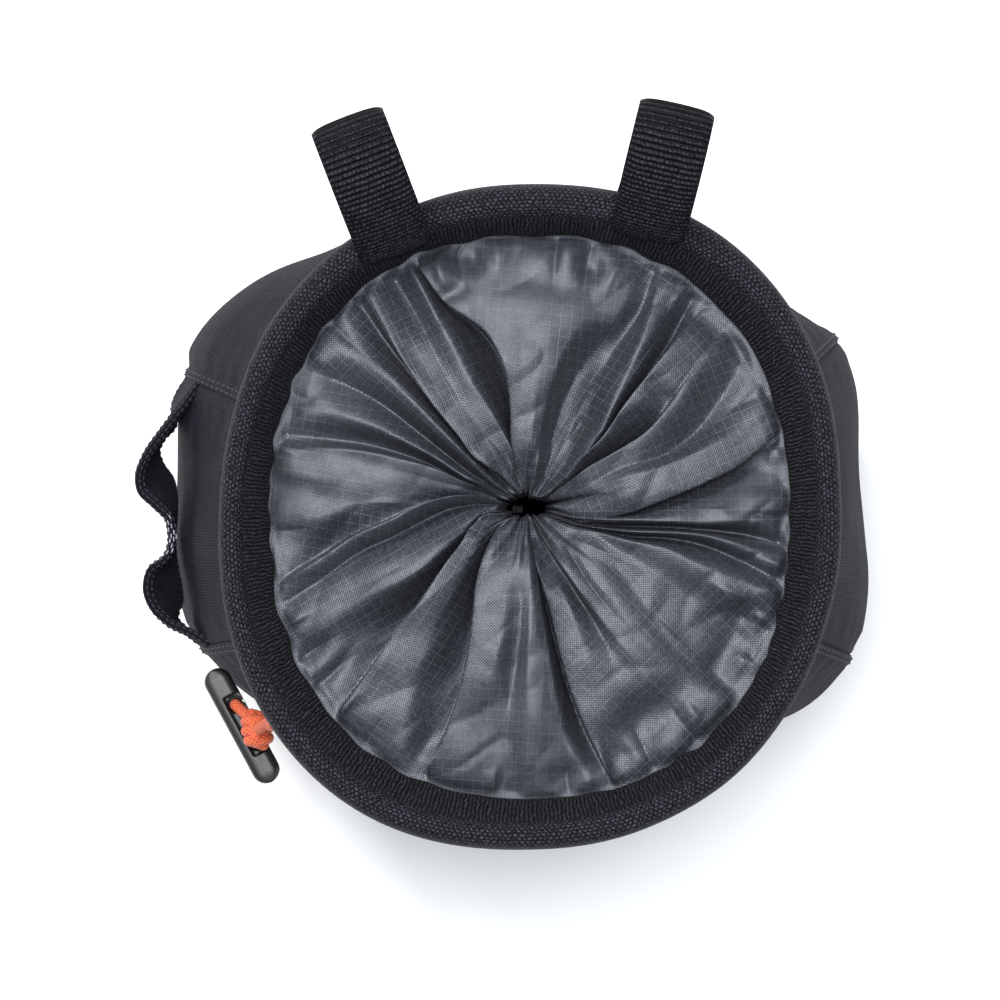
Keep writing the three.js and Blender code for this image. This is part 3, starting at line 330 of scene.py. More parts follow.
# Path of the brush strip round the left side
STRIP_AZIMUTHS = [
    157.6, 161.5, 168, 172, 175, 177, 179.2, 181.4, 183.2, 185.6, 187.4, 189.2, 191.8, 194.6, 197.6,
    200.6, 203.8,
]
STRIP_STANDS = [
    -0.24, 0.02, 0.42, 0.76, 0.97, 0.9, 0.5, 0.1, 0, 0, 0.18, 0.62, 0.86, 0.8, 0.48, 0.06, -0.24,
]

# The strip's lower edge lies nearer the body: azimuth in degrees and how far it stands off
LOWER_EDGE = [
    (157.6, -1.7), (162.5, 0.1), (166.4, 0.5), (168.3, 2.6), (170.5, 4), (172.6, 3.2), (174.8, 1),
    (177.4, 0.2), (180, 0), (183.2, 0), (186, 0), (190, 0.1), (193, 0.2), (194.8, 0.5), (196.3, 1.9),
    (197.5, 2.5), (198.8, 1.7), (200.6, 0.1), (203.8, -1.7),
]


# Curves and small numbers


def full_turn(steps):
    return np.linspace(0, TURN, steps, endpoint=False)


def run_along(points):
    """The way run along a line at each of its points."""
    return np.concatenate([[0], np.cumsum(np.linalg.norm(np.diff(points, axis=0), axis=1))])


def read_along(at, run, points):
    """The points of a line at some of the ways run along it."""
    return np.stack([np.interp(at, run, points[:, k]) for k in range(3)], -1)


def unit(v):
    return v / np.maximum(np.linalg.norm(v, axis=-1, keepdims=True), 1e-9)


def eased(x, xs, ys):
    """A smooth curve through the points (xs, ys), read at x."""
    xs, ys = np.asarray(xs, float), np.asarray(ys, float)
    slopes = np.gradient(ys, xs)
    i = np.clip(np.searchsorted(xs, x, side="right") - 1, 0, len(xs) - 2)
    span = xs[i + 1] - xs[i]
    t = np.clip((x - xs[i]) / span, 0, 1)
    rise = ys[i + 1] - ys[i]
    bend = (slopes[i] * span - rise) * (1 - t) - (slopes[i + 1] * span - rise) * t
    return ys[i] + t * rise + t * (1 - t) * bend


def smooth_step(x, low, high):
    """0 below low, 1 above high and smooth between them."""
    t = np.clip((x - low) / (high - low), 0, 1)
    return t * t * (3 - 2 * t)


def faded(x, low, high):
    """1 below low, 0 above high and smooth between them."""
    return 1 - smooth_step(x, low, high)


def ripple(x, y, size, seed, waves=7):
    """Seeded smooth noise between about -1 and 1, whose features are size wide."""
    draw = np.random.default_rng(seed)
    total = 0
    for _ in range(waves):
        heading, phase = draw.uniform(0, TURN, 2)
        pitch = size * draw.uniform(1.4, 3.2)
        total = total + np.sin(TURN * (x * math.cos(heading) + y * math.sin(heading)) / pitch + phase)
    return total / math.sqrt(waves)


def ripple_round(azimuth, radius, size, seed):
    return ripple(radius * np.cos(azimuth), radius * np.sin(azimuth), size, seed)


def creased(x, y, size, seed):
    """Seeded noise whose rounded hollows meet in narrow crests, between about -1 and 1."""
    return 1 - 2 * np.minimum(np.abs(ripple(x, y, size, seed)), 1) ** 0.8


def oval_radius(azimuth, half_width, half_depth, squareness):
    x = np.abs(np.cos(azimuth)) / half_width
    y = np.abs(np.sin(azimuth)) / half_depth
    return (x**squareness + y**squareness) ** (-1 / squareness)


def rim_radius(azimuth):
    skew = 1 + RIM_SKEW_SHARE * np.cos(2 * (azimuth - RIM_SKEW_AZIMUTH * DEGREE))
    return skew * oval_radius(azimuth, RIM_HALF_WIDTH, RIM_HALF_DEPTH, RIM_SQUARENESS)


def opening_radius(azimuth):
    return oval_radius(azimuth, OPENING_HALF_WIDTH, OPENING_HALF_DEPTH, OPENING_SQUARENESS)


def roll_width(azimuth):
    front = np.minimum(np.sin(azimuth), 0) ** 2
    back = np.maximum(np.sin(azimuth), 0) ** 2
    wider = (ROLL_WIDTH_FRONT - ROLL_WIDTH_SIDE) * front + (ROLL_WIDTH_BACK - ROLL_WIDTH_SIDE) * back
    return ROLL_WIDTH_SIDE + wider


def rim_point(radius, azimuth, height):
    x = RIM_CENTRE_X + radius * np.cos(azimuth)
    y = RIM_CENTRE_Y + radius * np.sin(azimuth)
    return np.stack(np.broadcast_arrays(x, y, height), -1)


def body_squareness(azimuth):
    return SQUARENESS_LEFT + (SQUARENESS_RIGHT - SQUARENESS_LEFT) * (0.5 + 0.5 * np.cos(azimuth))


def widest_radius(azimuth):
    back = WIDEST_BACK_DEPTH - BACK_LEFT_EXTRA_DEPTH * np.cos(azimuth)
    depth = np.where(np.sin(azimuth) > 0, back, WIDEST_FRONT_DEPTH)
    return oval_radius(azimuth, WIDEST_HALF_WIDTH, depth, body_squareness(azimuth))


def base_radius(azimuth):
    return oval_radius(azimuth, BASE_HALF_WIDTH, BASE_HALF_DEPTH, body_squareness(azimuth))


def dent_depth(azimuth, level):
    depth = 0
    for middle, spread, middle_level, rise, share in BODY_DENTS:
        turn = azimuth - middle * DEGREE
        across = np.arctan2(np.sin(turn), np.cos(turn)) / (spread * DEGREE)
        up = (level - middle_level) / rise
        depth = depth + SLACK_DEPTH * share * np.exp(-across * across - up * up)
    return depth


def body_point(azimuth, height, stand_off=0.0):
    """A point of the body's outer face, stood off by a distance in plan."""
    azimuth, height, stand_off = np.broadcast_arrays(azimuth, height, stand_off)
    level = height / WALL_TOP
    weight = {name: eased(level, BODY_ROWS["level"], BODY_ROWS[name]) for name in BODY_ROWS}
    radius = weight["rim"] * (rim_radius(azimuth) - PANEL_TUCK)
    radius = radius + weight["widest"] * widest_radius(azimuth) + weight["base"] * base_radius(azimuth)
    radius = radius - weight["tuck"] * WALL / 2 - dent_depth(azimuth, level) + stand_off
    x = RIM_CENTRE_X * weight["rim"] + radius * np.cos(azimuth)
    y = RIM_CENTRE_Y * weight["rim"] + radius * np.sin(azimuth)
    return np.stack([x, y, height], -1)


# Meshes


def grid_faces(rows, columns, wrap_rows=False, wrap_columns=False):
    """Quads of a grid of points, with the unwrapped row and column of each corner."""
    i, j = np.meshgrid(
        np.arange(rows if wrap_rows else rows - 1),
        np.arange(columns if wrap_columns else columns - 1),
        indexing="ij",
    )
    row = np.stack([i, i, i + 1, i + 1], -1).reshape(-1, 4)
    column = np.stack([j, j + 1, j + 1, j], -1).reshape(-1, 4)
    return (row % rows) * columns + column % columns, row, column


def add_object(name, data):
    made = bpy.data.objects.new(name, data)
    bpy.context.scene.collection.objects.link(made)
    return made


def plain_object(name, points, faces):
    mesh = bpy.data.meshes.new(name)
    mesh.from_pydata([tuple(point * MM) for point in np.asarray(points)], [], faces)
    return add_object(name, mesh)


def make_piece(name, points, faces, uvs, material, replaces=()):
    """A smooth mesh piece from points, groups of faces and the weave's place at each corner."""
    mesh = bpy.data.meshes.new(name)
    sizes = np.concatenate([np.full(len(group), group.shape[1]) for group in faces])
    corners = np.concatenate([group.ravel() for group in faces])
    mesh.vertices.add(len(points))
    mesh.vertices.foreach_set("co", (np.asarray(points) * MM).astype(np.float32).ravel())
    mesh.loops.add(len(corners))
    mesh.loops.foreach_set("vertex_index", corners.astype(np.int32))
    mesh.polygons.add(len(sizes))
    starts = np.concatenate([[0], np.cumsum(sizes)[:-1]])
    mesh.polygons.foreach_set("loop_start", starts.astype(np.int32))
    mesh.polygons.foreach_set("loop_total", sizes.astype(np.int32))
    mesh.polygons.foreach_set("use_smooth", np.ones(len(sizes), bool))
    mesh.update(calc_edges=True)
    if uvs:
        layer = mesh.uv_layers.new(name="weave")
        places = np.concatenate([group.reshape(-1, 2) for group in uvs])
        layer.uv.foreach_set("vector", places.astype(np.float32).ravel())
    mesh.validate()
    mesh.materials.append(material)
    piece = add_object(name, mesh)
    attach(piece, "root")
    if replaces:
        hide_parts(*replaces)
    return piece


def turned_outward(points, faces, uvs=()):
    """The faces and their weave, turned round where the faces enclose a negative volume."""
    a, b, c, d = (points[faces[0][:, k]] for k in range(4))
    if (a * np.cross(b, c)).sum() + (a * np.cross(c, d)).sum() < 0:
        faces = [group[:, ::-1] for group in faces]
        uvs = [group[:, ::-1] for group in uvs]
    return faces, uvs


def loft(name, sections, weave, material, replaces=(), wrap=False):
    """A closed bar or ring. Sections are rows of points round it, the outer face first and the inner
    face back again, and weave has one column more than they have, and one row more if wrap."""
    rows, columns = sections.shape[:2]
    points = sections.reshape(-1, 3)
    quads, row, column = grid_faces(rows, columns, wrap, True)
    faces, uvs = [quads], [weave[row, column]]
    if not wrap:
        half = columns // 2
        near = np.arange(half - 1)
        strip = np.stack([near, near + 1, columns - 2 - near, columns - 1 - near], -1)
        for base, flip in ((0, True), ((rows - 1) * columns, False)):
            cap = strip + base
            faces.append(cap[:, ::-1] if flip else cap)
            corner = np.stack([strip, strip * 0 + (base > 0) * (rows - 1)], -1)
            picked = weave[corner[..., 1], corner[..., 0]]
            uvs.append(picked[:, ::-1] if flip else picked)
    faces, uvs = turned_outward(points, faces, uvs)
    return make_piece(name, points, faces, uvs, material, replaces)


def along_and_across(sections):
    """The weave's place on a ring's loft: the way along its rows and round its columns."""
    closed = np.concatenate([sections, sections[:, :1]], 1)
    closed = np.concatenate([closed, closed[:1]], 0)
    across = np.linalg.norm(np.diff(closed, axis=1), axis=2)
    across = np.concatenate([np.zeros((len(closed), 1)), np.cumsum(across, 1)], 1)
    along = run_along(closed.mean(1))
    return np.stack([np.broadcast_to(along[:, None], across.shape), across], -1)


def grid_weave(length, girth):
    """The weave's place of a loft whose rows all have the same ways along and round it."""
    return np.stack(np.meshgrid(length, girth, indexing="ij"), -1)


def two_faced(face, back):
    """Sections over the outer face and back again over the inner one."""
    return np.concatenate([face, back[:, ::-1]], 1)


def smooth_path(points, count):
    """Evenly spaced points on a smooth curve through the given ones."""
    points = np.asarray(points, float)
    length = run_along(points)
    fine = np.linspace(0, length[-1], count * 8)
    curve = np.stack([eased(fine, length, points[:, k]) for k in range(3)], -1)
    run = run_along(curve)
    return read_along(np.linspace(0, run[-1], count), run, curve)


def tube_points(path, radius, sides):
    """Rings of points round a path, without twist."""
    path = np.asarray(path, float)
    forward = unit(np.gradient(path, axis=0))
    side = np.zeros_like(forward)
    side[0] = unit(np.cross(forward[0], (0.31, 0.22, 0.93)))
    for i in range(1, len(path)):
        side[i] = unit(side[i - 1] - forward[i] * (side[i - 1] @ forward[i]))
    other = np.cross(forward, side)
    angle = full_turn(sides)
    radius = np.broadcast_to(radius, len(path))[:, None, None]
    ring = side[:, None] * np.cos(angle)[:, None] + other[:, None] * np.sin(angle)[:, None]
    return path[:, None] + ring * radius


def join_parts(parts):
    """One list of points and faces from several (points, faces, uvs)."""
    points, faces, uvs, base = [], [], [], 0
    for p, f, u in parts:
        points.append(p)
        faces += [group + base for group in f]
        uvs += u
        base += len(p)
    return np.concatenate(points), faces, uvs


def tube_part(path, radius, sides):
    """A closed tube with rounded ends, as (points, faces, weave)."""
    path = np.asarray(path, float)
    radius = np.broadcast_to(np.asarray(radius, float), len(path))
    ends = []
    for end, inner in ((0, 1), (-1, -2)):
        direction = unit(path[end] - path[inner])
        ends.append([path[end] + direction * radius[end] * s for s in (0.35, 0.6)])
    path = np.concatenate([[ends[0][1], ends[0][0]], path, ends[1]])
    first, last = radius[0], radius[-1]
    radius = np.concatenate([[first * 0.35, first * 0.8], radius, [last * 0.8, last * 0.35]])
    points = tube_points(path, radius, sides).reshape(-1, 3)
    quads, row, column = grid_faces(len(path), sides, False, True)
    weave = np.stack([run_along(path)[row], column * (TURN * radius.mean() / sides)], -1)
    start = np.arange(sides)[None, ::-1]
    end = np.arange(sides)[None] + (len(path) - 1) * sides
    plain = np.zeros((1, sides, 2))
    return points, *turned_outward(points, [quads, start, end], [weave, plain, plain])


# Rings of one stitch: place along it from -1 to 1, and share of its radius
STITCH_RINGS = np.array([[-1.0, 0.25], [-0.8, 0.75], [-0.3, 1.0], [0.3, 1.0], [0.8, 0.75], [1.0, 0.25]])
STITCH_SIDES = 6


def stitches(name, runs, length, gap, radius, material, sink=0.35):
    """Rows of thread stitches. Each run is (points, normals): the stitches follow the points and lie on
    a surface with those normals."""
    angle = full_turn(STITCH_SIDES)
    ring_quads, _, _ = grid_faces(len(STITCH_RINGS), STITCH_SIDES, False, True)
    along, thick = STITCH_RINGS[:, :1], STITCH_RINGS[:, 1:]
    lift = radius * (1 - sink) - radius * 0.9 * np.abs(along) ** 4
    parts, quads, ends, base = [], [], [], 0
    for points, normals in runs:
        points, normals = np.asarray(points, float), np.asarray(normals, float)
        run = run_along(points)
        count = max(1, int(run[-1] / (length + gap)))
        for middle in (np.arange(count) + 0.5) * run[-1] / count:
            normal = unit(read_along(middle, run, normals))
            forward = unit(read_along(middle + 0.3, run, points) - read_along(middle - 0.3, run, points))
            side = unit(np.cross(normal, forward))
            centre = read_along(middle, run, points) + forward * along * length / 2 + normal * lift
            ring = side * np.cos(angle)[:, None] + normal * np.sin(angle)[:, None]
            parts.append((centre[:, None] + radius * thick[:, None] * ring).reshape(-1, 3))
            quads.append(ring_quads + base)
            first = np.arange(STITCH_SIDES) + base
            base += len(STITCH_RINGS) * STITCH_SIDES
            ends += [first[::-1], first + base - first[0] - STITCH_SIDES]
    points = np.concatenate(parts)
    faces, _ = turned_outward(points, [np.concatenate(quads), np.array(ends)])
    return make_piece(name, points, faces, None, material)


# Materials


class Value:
    """A number in a material's nodes, which can be added to, multiplied and so on."""

    def __init__(self, shader, socket):
        self.shader = shader
        self.socket = socket

    def math(self, operation, other=0.0):
        made = self.shader.node("ShaderNodeMath", {0: self, 1: other}, operation=operation)
        return Value(self.shader, made.outputs[0])

    __add__ = partialmethod(math, "ADD")
    __sub__ = partialmethod(math, "SUBTRACT")
    __mul__ = partialmethod(math, "MULTIPLY")
    __truediv__ = partialmethod(math, "DIVIDE")
    __pow__ = partialmethod(math, "POWER")


class Shader:
    """A material whose nodes are made by short calls, with settings of its surface by name."""

    def __init__(self, name, roughness, **settings):
        self.material = bpy.data.materials.new(name)
        self.material.use_nodes = True
        self.tree = self.material.node_tree
        self.surface = self.tree.nodes["Principled BSDF"]
        self.set("Roughness", roughness)
        for key, value in settings.items():
            self.set(key.replace("_", " "), value)

    def set(self, key, value):
        self.feed(self.surface.inputs[key], value)

    def feed(self, socket, value):
        if isinstance(value, Value):
            value = value.socket
        if isinstance(value, bpy.types.NodeSocket):
            self.tree.links.new(value, socket)
        else:
            socket.default_value = (*value, 1) if isinstance(value, tuple) else value

    def node(self, kind, inputs, **settings):
        made = self.tree.nodes.new(kind)
        for key, value in settings.items():
            setattr(made, key, value)
        for key, value in inputs.items():
            self.feed(made.inputs[key], value)
        return made

    def weave_place(self):
        """The way along and across the cloth, in millimetres."""
        place = self.node("ShaderNodeUVMap", {}, uv_map="weave").outputs["UV"]
        parts = self.node("ShaderNodeSeparateXYZ", {0: place}).outputs
        return Value(self, parts[0]), Value(self, parts[1])

    def noise(self, scale, detail, roughness=0.6):
        place = self.node("ShaderNodeTexCoord", {}).outputs["Object"]
        inputs = {"Vector": place, "Scale": scale, "Detail": detail, "Roughness": roughness}
        return Value(self, self.node("ShaderNodeTexNoise", inputs).outputs["Fac"])

    def tint(self, colour, factor, other):
        return self.node("ShaderNodeMix", {0: factor, 6: colour, 7: other}, data_type="RGBA").outputs[2]

    def ramp(self, value, low, high, low_colour, high_colour):
        share = self.node("ShaderNodeMapRange", {"Value": value, "From Min": low, "From Max": high})
        return self.tint(low_colour, share.outputs[0], high_colour)

    def threads(self, cover, dark, speckle, limits, dim, bright):
        """Dark cloth whose threads catch the light in speckles. The speckles, from the dim to the bright
        colour, are painted highlights on the threads, and the dark colour between the threads is painted
        shade.
        """
        self.set("Base Color", self.tint(dark, cover, self.ramp(speckle, *limits, dim, bright)))

    def bump(self, heights):
        """Heights are (value, size in millimetres), from the coarsest to the finest."""
        normal = None
        for value, size in heights:
            made = self.node("ShaderNodeBump", {"Height": value, "Distance": size * MM, "Strength": 1.0})
            if normal is not None:
                self.feed(made.inputs["Normal"], normal)
            normal = made.outputs["Normal"]
        self.set("Normal", normal)
        return self.material


def wave(x, pitch, shift=0.0):
    """0 to 1 and back once in each pitch."""
    return (x * (TURN / pitch) + shift).math("COSINE") * -0.5 + 0.5


def staggered_floats(along, across, pitch_along, pitch_across):
    """Rows of short threads that lie along one way, each row half a thread on from the last."""
    row = across / pitch_across
    shift = row.math("FLOOR").math("MODULO", 2.0) * math.pi
    return wave(along, pitch_along, shift) ** 0.5 * (row * math.pi).math("SINE").math("ABSOLUTE") ** 0.6


def plain_weave(along, across, pitch):
    """Two sets of threads that pass over and under each other."""
    x, y = along * (math.pi / pitch), across * (math.pi / pitch)
    return (x.math("SINE") * y.math("SINE")).math("ABSOLUTE") ** 0.5


def nylon_material():
    sheen = {"Sheen_Weight": 0.02, "Sheen_Roughness": 0.45, "Sheen_Tint": (0.72, 0.66, 0.8)}
    shader = Shader("woven_nylon", 0.75, Specular_IOR_Level=0.08, **sheen)
    weave = plain_weave(*shader.weave_place(), 0.55)
    cloud, speckle = shader.noise(45, 4), shader.noise(1500, 2)
    dark = shader.ramp(cloud, 0.3, 0.7, (0.002, 0.0018, 0.0028), (0.0045, 0.004, 0.006))
    # The cloud varies the dark tone at random; between the threads it is painted shade, and the bright
    # speckles on the threads are painted highlights.
    shader.threads(weave**3.2, dark, speckle, (0.3, 0.7), (0.006, 0.0047, 0.0095), (0.039, 0.03, 0.056))
    return shader.bump([(cloud, 0.3), (speckle, 0.06), (weave, 0.16)])


def binding_material():
    """The rim's webbing: rows of staggered threads that run round it."""
    shader = Shader("binding_webbing", 0.6, Specular_IOR_Level=0.1, Sheen_Weight=0.01)
    along, across = shader.weave_place()
    along, across = along + shader.noise(700, 3) * 1.6, across + shader.noise(900, 2) * 0.42
    weave, speckle = staggered_floats(along, across, 1.0, 0.78), shader.noise(1900, 3, 0.7)
    # The bright speckles on the threads are painted highlights, and the dark colour between the threads is
    # painted shade.
    dark, dim, bright = (0.0014, 0.0014, 0.002), (0.003, 0.003, 0.0045), (0.06, 0.059, 0.08)
    shader.threads(weave**1.2, dark, speckle, (0.38, 0.64), dim, bright)
    return shader.bump([(shader.noise(200, 3), 0.12), (speckle, 0.1), (weave, 0.26)])


def facing_material():
    """The band inside the rim, with fine ribs that run across it."""
    shader = Shader("ribbed_facing", 0.7, Specular_IOR_Level=0.1, Sheen_Weight=0.01)
    along, across = shader.weave_place()
    ribs = wave(along + shader.noise(520, 3) * 1.5, 0.78)
    weave = ribs * (wave(across + shader.noise(300, 2) * 0.8, 1.05) * 0.65 + 0.35)
    # The bright speckles on the ribs are painted highlights, and the dark colour between the ribs is painted
    # shade.
    dark, dim, bright = (0.0014, 0.0014, 0.002), (0.008, 0.008, 0.01), (0.05, 0.048, 0.058)
    shader.threads(weave**1.4, dark, shader.noise(1400, 2), (0.3, 0.7), dim, bright)
    return shader.bump([(shader.noise(260, 3), 0.25), (weave, 0.3)])


def loop_material():
    """Belt loop webbing: coarse ribs across it, made of short threads."""
    shader = Shader("belt_webbing", 0.6, Specular_IOR_Level=0.1, Sheen_Weight=0.01)
    along, across = shader.weave_place()
    along, across = along + shader.noise(350, 3) * 0.6, across + shader.noise(600, 3) * 1.6
    floats = staggered_floats(across, along, 0.9, LOOP_RIB)
    weave, speckle = wave(along, LOOP_RIB) ** 0.8 * (floats * 0.5 + 0.5), shader.noise(1500, 2)
    # The bright speckles on the ribs are painted highlights, and the dark colour between them is painted
    # shade.
    dark, dim, bright = (0.0012, 0.0012, 0.0018), (0.0025, 0.0025, 0.004), (0.043, 0.041, 0.057)
    shader.threads(weave**2.0, dark, speckle, (0.34, 0.68), dim, bright)
    return shader.bump([(weave, 0.3), (speckle, 0.06)])


def ripstop_material():
    """Satin cloth on the slant, with a finer grid of dotted threads that fades in patches."""
    shader = Shader("grey_ripstop", 0.53, Specular_IOR_Level=1.0, Specular_Tint=(0.91, 0.935, 1.0))
    along, across = shader.weave_place()
    weave = plain_weave(along + across, along - across, 0.62)
    lines = [
        wave(place, 2.1) ** 110.0 * (wave(other, 0.7) * 0.85 + 0.15)
        for place, other in ((along, across), (across, along))
    ]
    fade = shader.ramp(shader.noise(55, 3), 0.35, 0.65, (0.15, 0.15, 0.15), (1, 1, 1))
    grid = lines[0].math("MAXIMUM", lines[1]) * fade
    # The bright end of the speckle ramps is painted glints of the threads; cold and warm tones mix in random
    # patches.
    speckle = shader.noise(1300, 3)
    cold = shader.ramp(speckle, 0.35, 0.68, (0.004, 0.0052, 0.009), (0.022, 0.027, 0.04))
    warm = shader.ramp(speckle, 0.35, 0.68, (0.006, 0.0055, 0.0065), (0.03, 0.029, 0.031))
    base = shader.tint(cold, shader.noise(60, 4) * 0.8, warm)
    # Painted glints: a lighter colour where the speckle lies on the threads.
    base = shader.tint(base, weave * speckle * 0.5, (0.07, 0.076, 0.095))
    shader.set("Base Color", shader.tint(base, grid * 0.45, (0.3, 0.3, 0.31)))
    shader.set("Roughness", shader.noise(900, 2) * 0.16 + 0.45)
    return shader.bump([(shader.noise(170, 4, 0.55), 0.14), (speckle, 0.035), (weave, 0.055), (grid, 0.06)])


def cord_material():
    shader = Shader("braided_cord", 0.6, Specular_IOR_Level=0.25, Sheen_Weight=0.05)
    along, across = shader.weave_place()
    braid = wave(along + across, 0.95).math("MAXIMUM", wave(along - across, 0.95))
    # The braid is painted darker in its grooves and lighter on its strands: painted shade and painted
    # highlight.
    base = shader.ramp(braid, 0.3, 1.0, (0.36, 0.04, 0.012), (0.7, 0.12, 0.045))
    shader.set("Base Color", shader.tint(base, shader.noise(900, 3) * 0.35, (0.78, 0.2, 0.09)))
    return shader.bump([(shader.noise(400, 2), 0.1), (braid, 0.16)])


def plastic_material():
    shader = Shader("moulded_plastic", 0.5, Specular_IOR_Level=0.35)
    dark, light = (0.014, 0.014, 0.0145), (0.022, 0.022, 0.0225)
    shader.set("Base Color", shader.ramp(shader.noise(120, 3), 0.3, 0.7, dark, light))
    shader.set("Roughness", shader.noise(2500, 2) * 0.12 + 0.34)
    return shader.bump([(shader.noise(2600, 2), 0.02)])


def thread_material(name, low, high):
    shader = Shader(name, 0.6, Specular_IOR_Level=0.15, Sheen_Weight=0.02)
    shader.set("Base Color", shader.ramp(shader.noise(800, 2), 0.3, 0.7, low, high))
    return shader.bump([(shader.noise(3000, 2), 0.03)])


NYLON = nylon_material()
BINDING = binding_material()
FACING = facing_material()
WEBBING = loop_material()
RIPSTOP = ripstop_material()
ORANGE = cord_material()
PLASTIC = plastic_material()
DARK_THREAD = thread_material("dark_thread", (0.016, 0.014, 0.02), (0.045, 0.04, 0.055))
LIGHT_THREAD = thread_material("light_thread", (0.2, 0.17, 0.22), (0.42, 0.38, 0.45))


# Camera


def make_camera():
    data = bpy.data.cameras.new("camera")
    data.sensor_width = SENSOR_WIDTH
    data.lens = SENSOR_WIDTH * CAMERA_HEIGHT / FIELD_AT_RIM
    camera = add_object("camera", data)
    camera.location = Vector((CAMERA_X, CAMERA_Y, BAG_HEIGHT + CAMERA_HEIGHT)) * MM
    bpy.context.scene.camera = camera


# Closing cord, knot, handle and eyelet


def pull_cord():
    path = smooth_path(CORD_ROUTE, 60)
    points, faces, uvs = tube_part(path, CORD_DIAMETER / 2, 20)
    return make_piece("closing_cord", points, faces, uvs, ORANGE, ["pull_cord"]), path


def handle_axes():
    up = Vector((0, 0, 1))
    return HANDLE_HEADING, HANDLE_HEADING.cross(up).normalized(), up


def socket_point(side, height):
    """A point on the axis of one of the two sockets, above the handle's underside."""
    along, outward_axis, up = handle_axes()
    place = HANDLE_CENTRE + along * (side * SOCKET_SPACING / 2) - outward_axis * SOCKET_INSET
    return place + up * (height - HANDLE_HEIGHT / 2)


def arc(centre, axis_a, axis_b, radius_a, radius_b, start, end, count):
    """Points on an elliptical arc about a centre, from start to end in degrees."""
    angle = np.linspace(start, end, count)[:, None] * DEGREE
    return centre + axis_a * radius_a * np.cos(angle) + axis_b * radius_b * np.sin(angle)


def cord_knot():
    """Turns of cord side by side, one strand over them and two legs into the handle's sockets."""
    along, outward_axis, up = (np.asarray(v) for v in handle_axes())
    centre = np.asarray(KNOT_CENTRE)
    wrap = (KNOT_SIZE - CORD_DIAMETER) / 2
    turn = np.linspace(-0.35, 2.85, 130)[:, None] * TURN
    slide = (turn / TURN - 1.25) * 2.0 + 0.55 * np.cos(turn)
    girth = wrap * (1 - 0.16 * (slide / 2.6) ** 2)
    axis = unit(along + outward_axis * 0.35)
    beside = unit(np.cross(up, axis))
    parts = [centre + axis * slide + beside * girth * np.cos(turn) + up * girth * np.sin(turn)]
    parts.append(arc(centre + outward_axis * 0.3, axis, up, wrap * 1.25, wrap * 1.28, 20, 160, 30))
    floor = HANDLE_HEIGHT - RECESS_DEPTH - SOCKET_DEPTH
    for side in (-1, 1):
        end = np.asarray(socket_point(side, floor + CLEARANCE))
        mouth = np.asarray(socket_point(side, floor + SOCKET_DEPTH + CORD_DIAMETER * 0.7))
        bow = centre + along * side * 1.8 - up * 1.6
        parts.append(smooth_path([centre, bow, mouth + (bow - mouth) * 0.3, mouth, end], 26))
    tubes = [tube_part(path, CORD_DIAMETER / 2 * 0.97, 16) for path in parts]
    points, faces, uvs = join_parts(tubes)
    return make_piece("cord_knot_turns", points, faces, uvs, ORANGE, ["cord_knot"])


def box_object(name, size, centre):
    signs = np.array([[x, y, z] for z in (-1, 1) for y in (-1, 1) for x in (-1, 1)])
    faces = [[0, 2, 3, 1], [4, 5, 7, 6], [0, 1, 5, 4], [2, 6, 7, 3], [0, 4, 6, 2], [1, 3, 7, 5]]
    return plain_object(name, signs * (np.asarray(size) / 2) + np.asarray(centre), faces)


def apply_modifiers(piece):
    graph = bpy.context.evaluated_depsgraph_get()
    mesh = bpy.data.meshes.new_from_object(piece.evaluated_get(graph))
    piece.modifiers.clear()
    piece.data = mesh


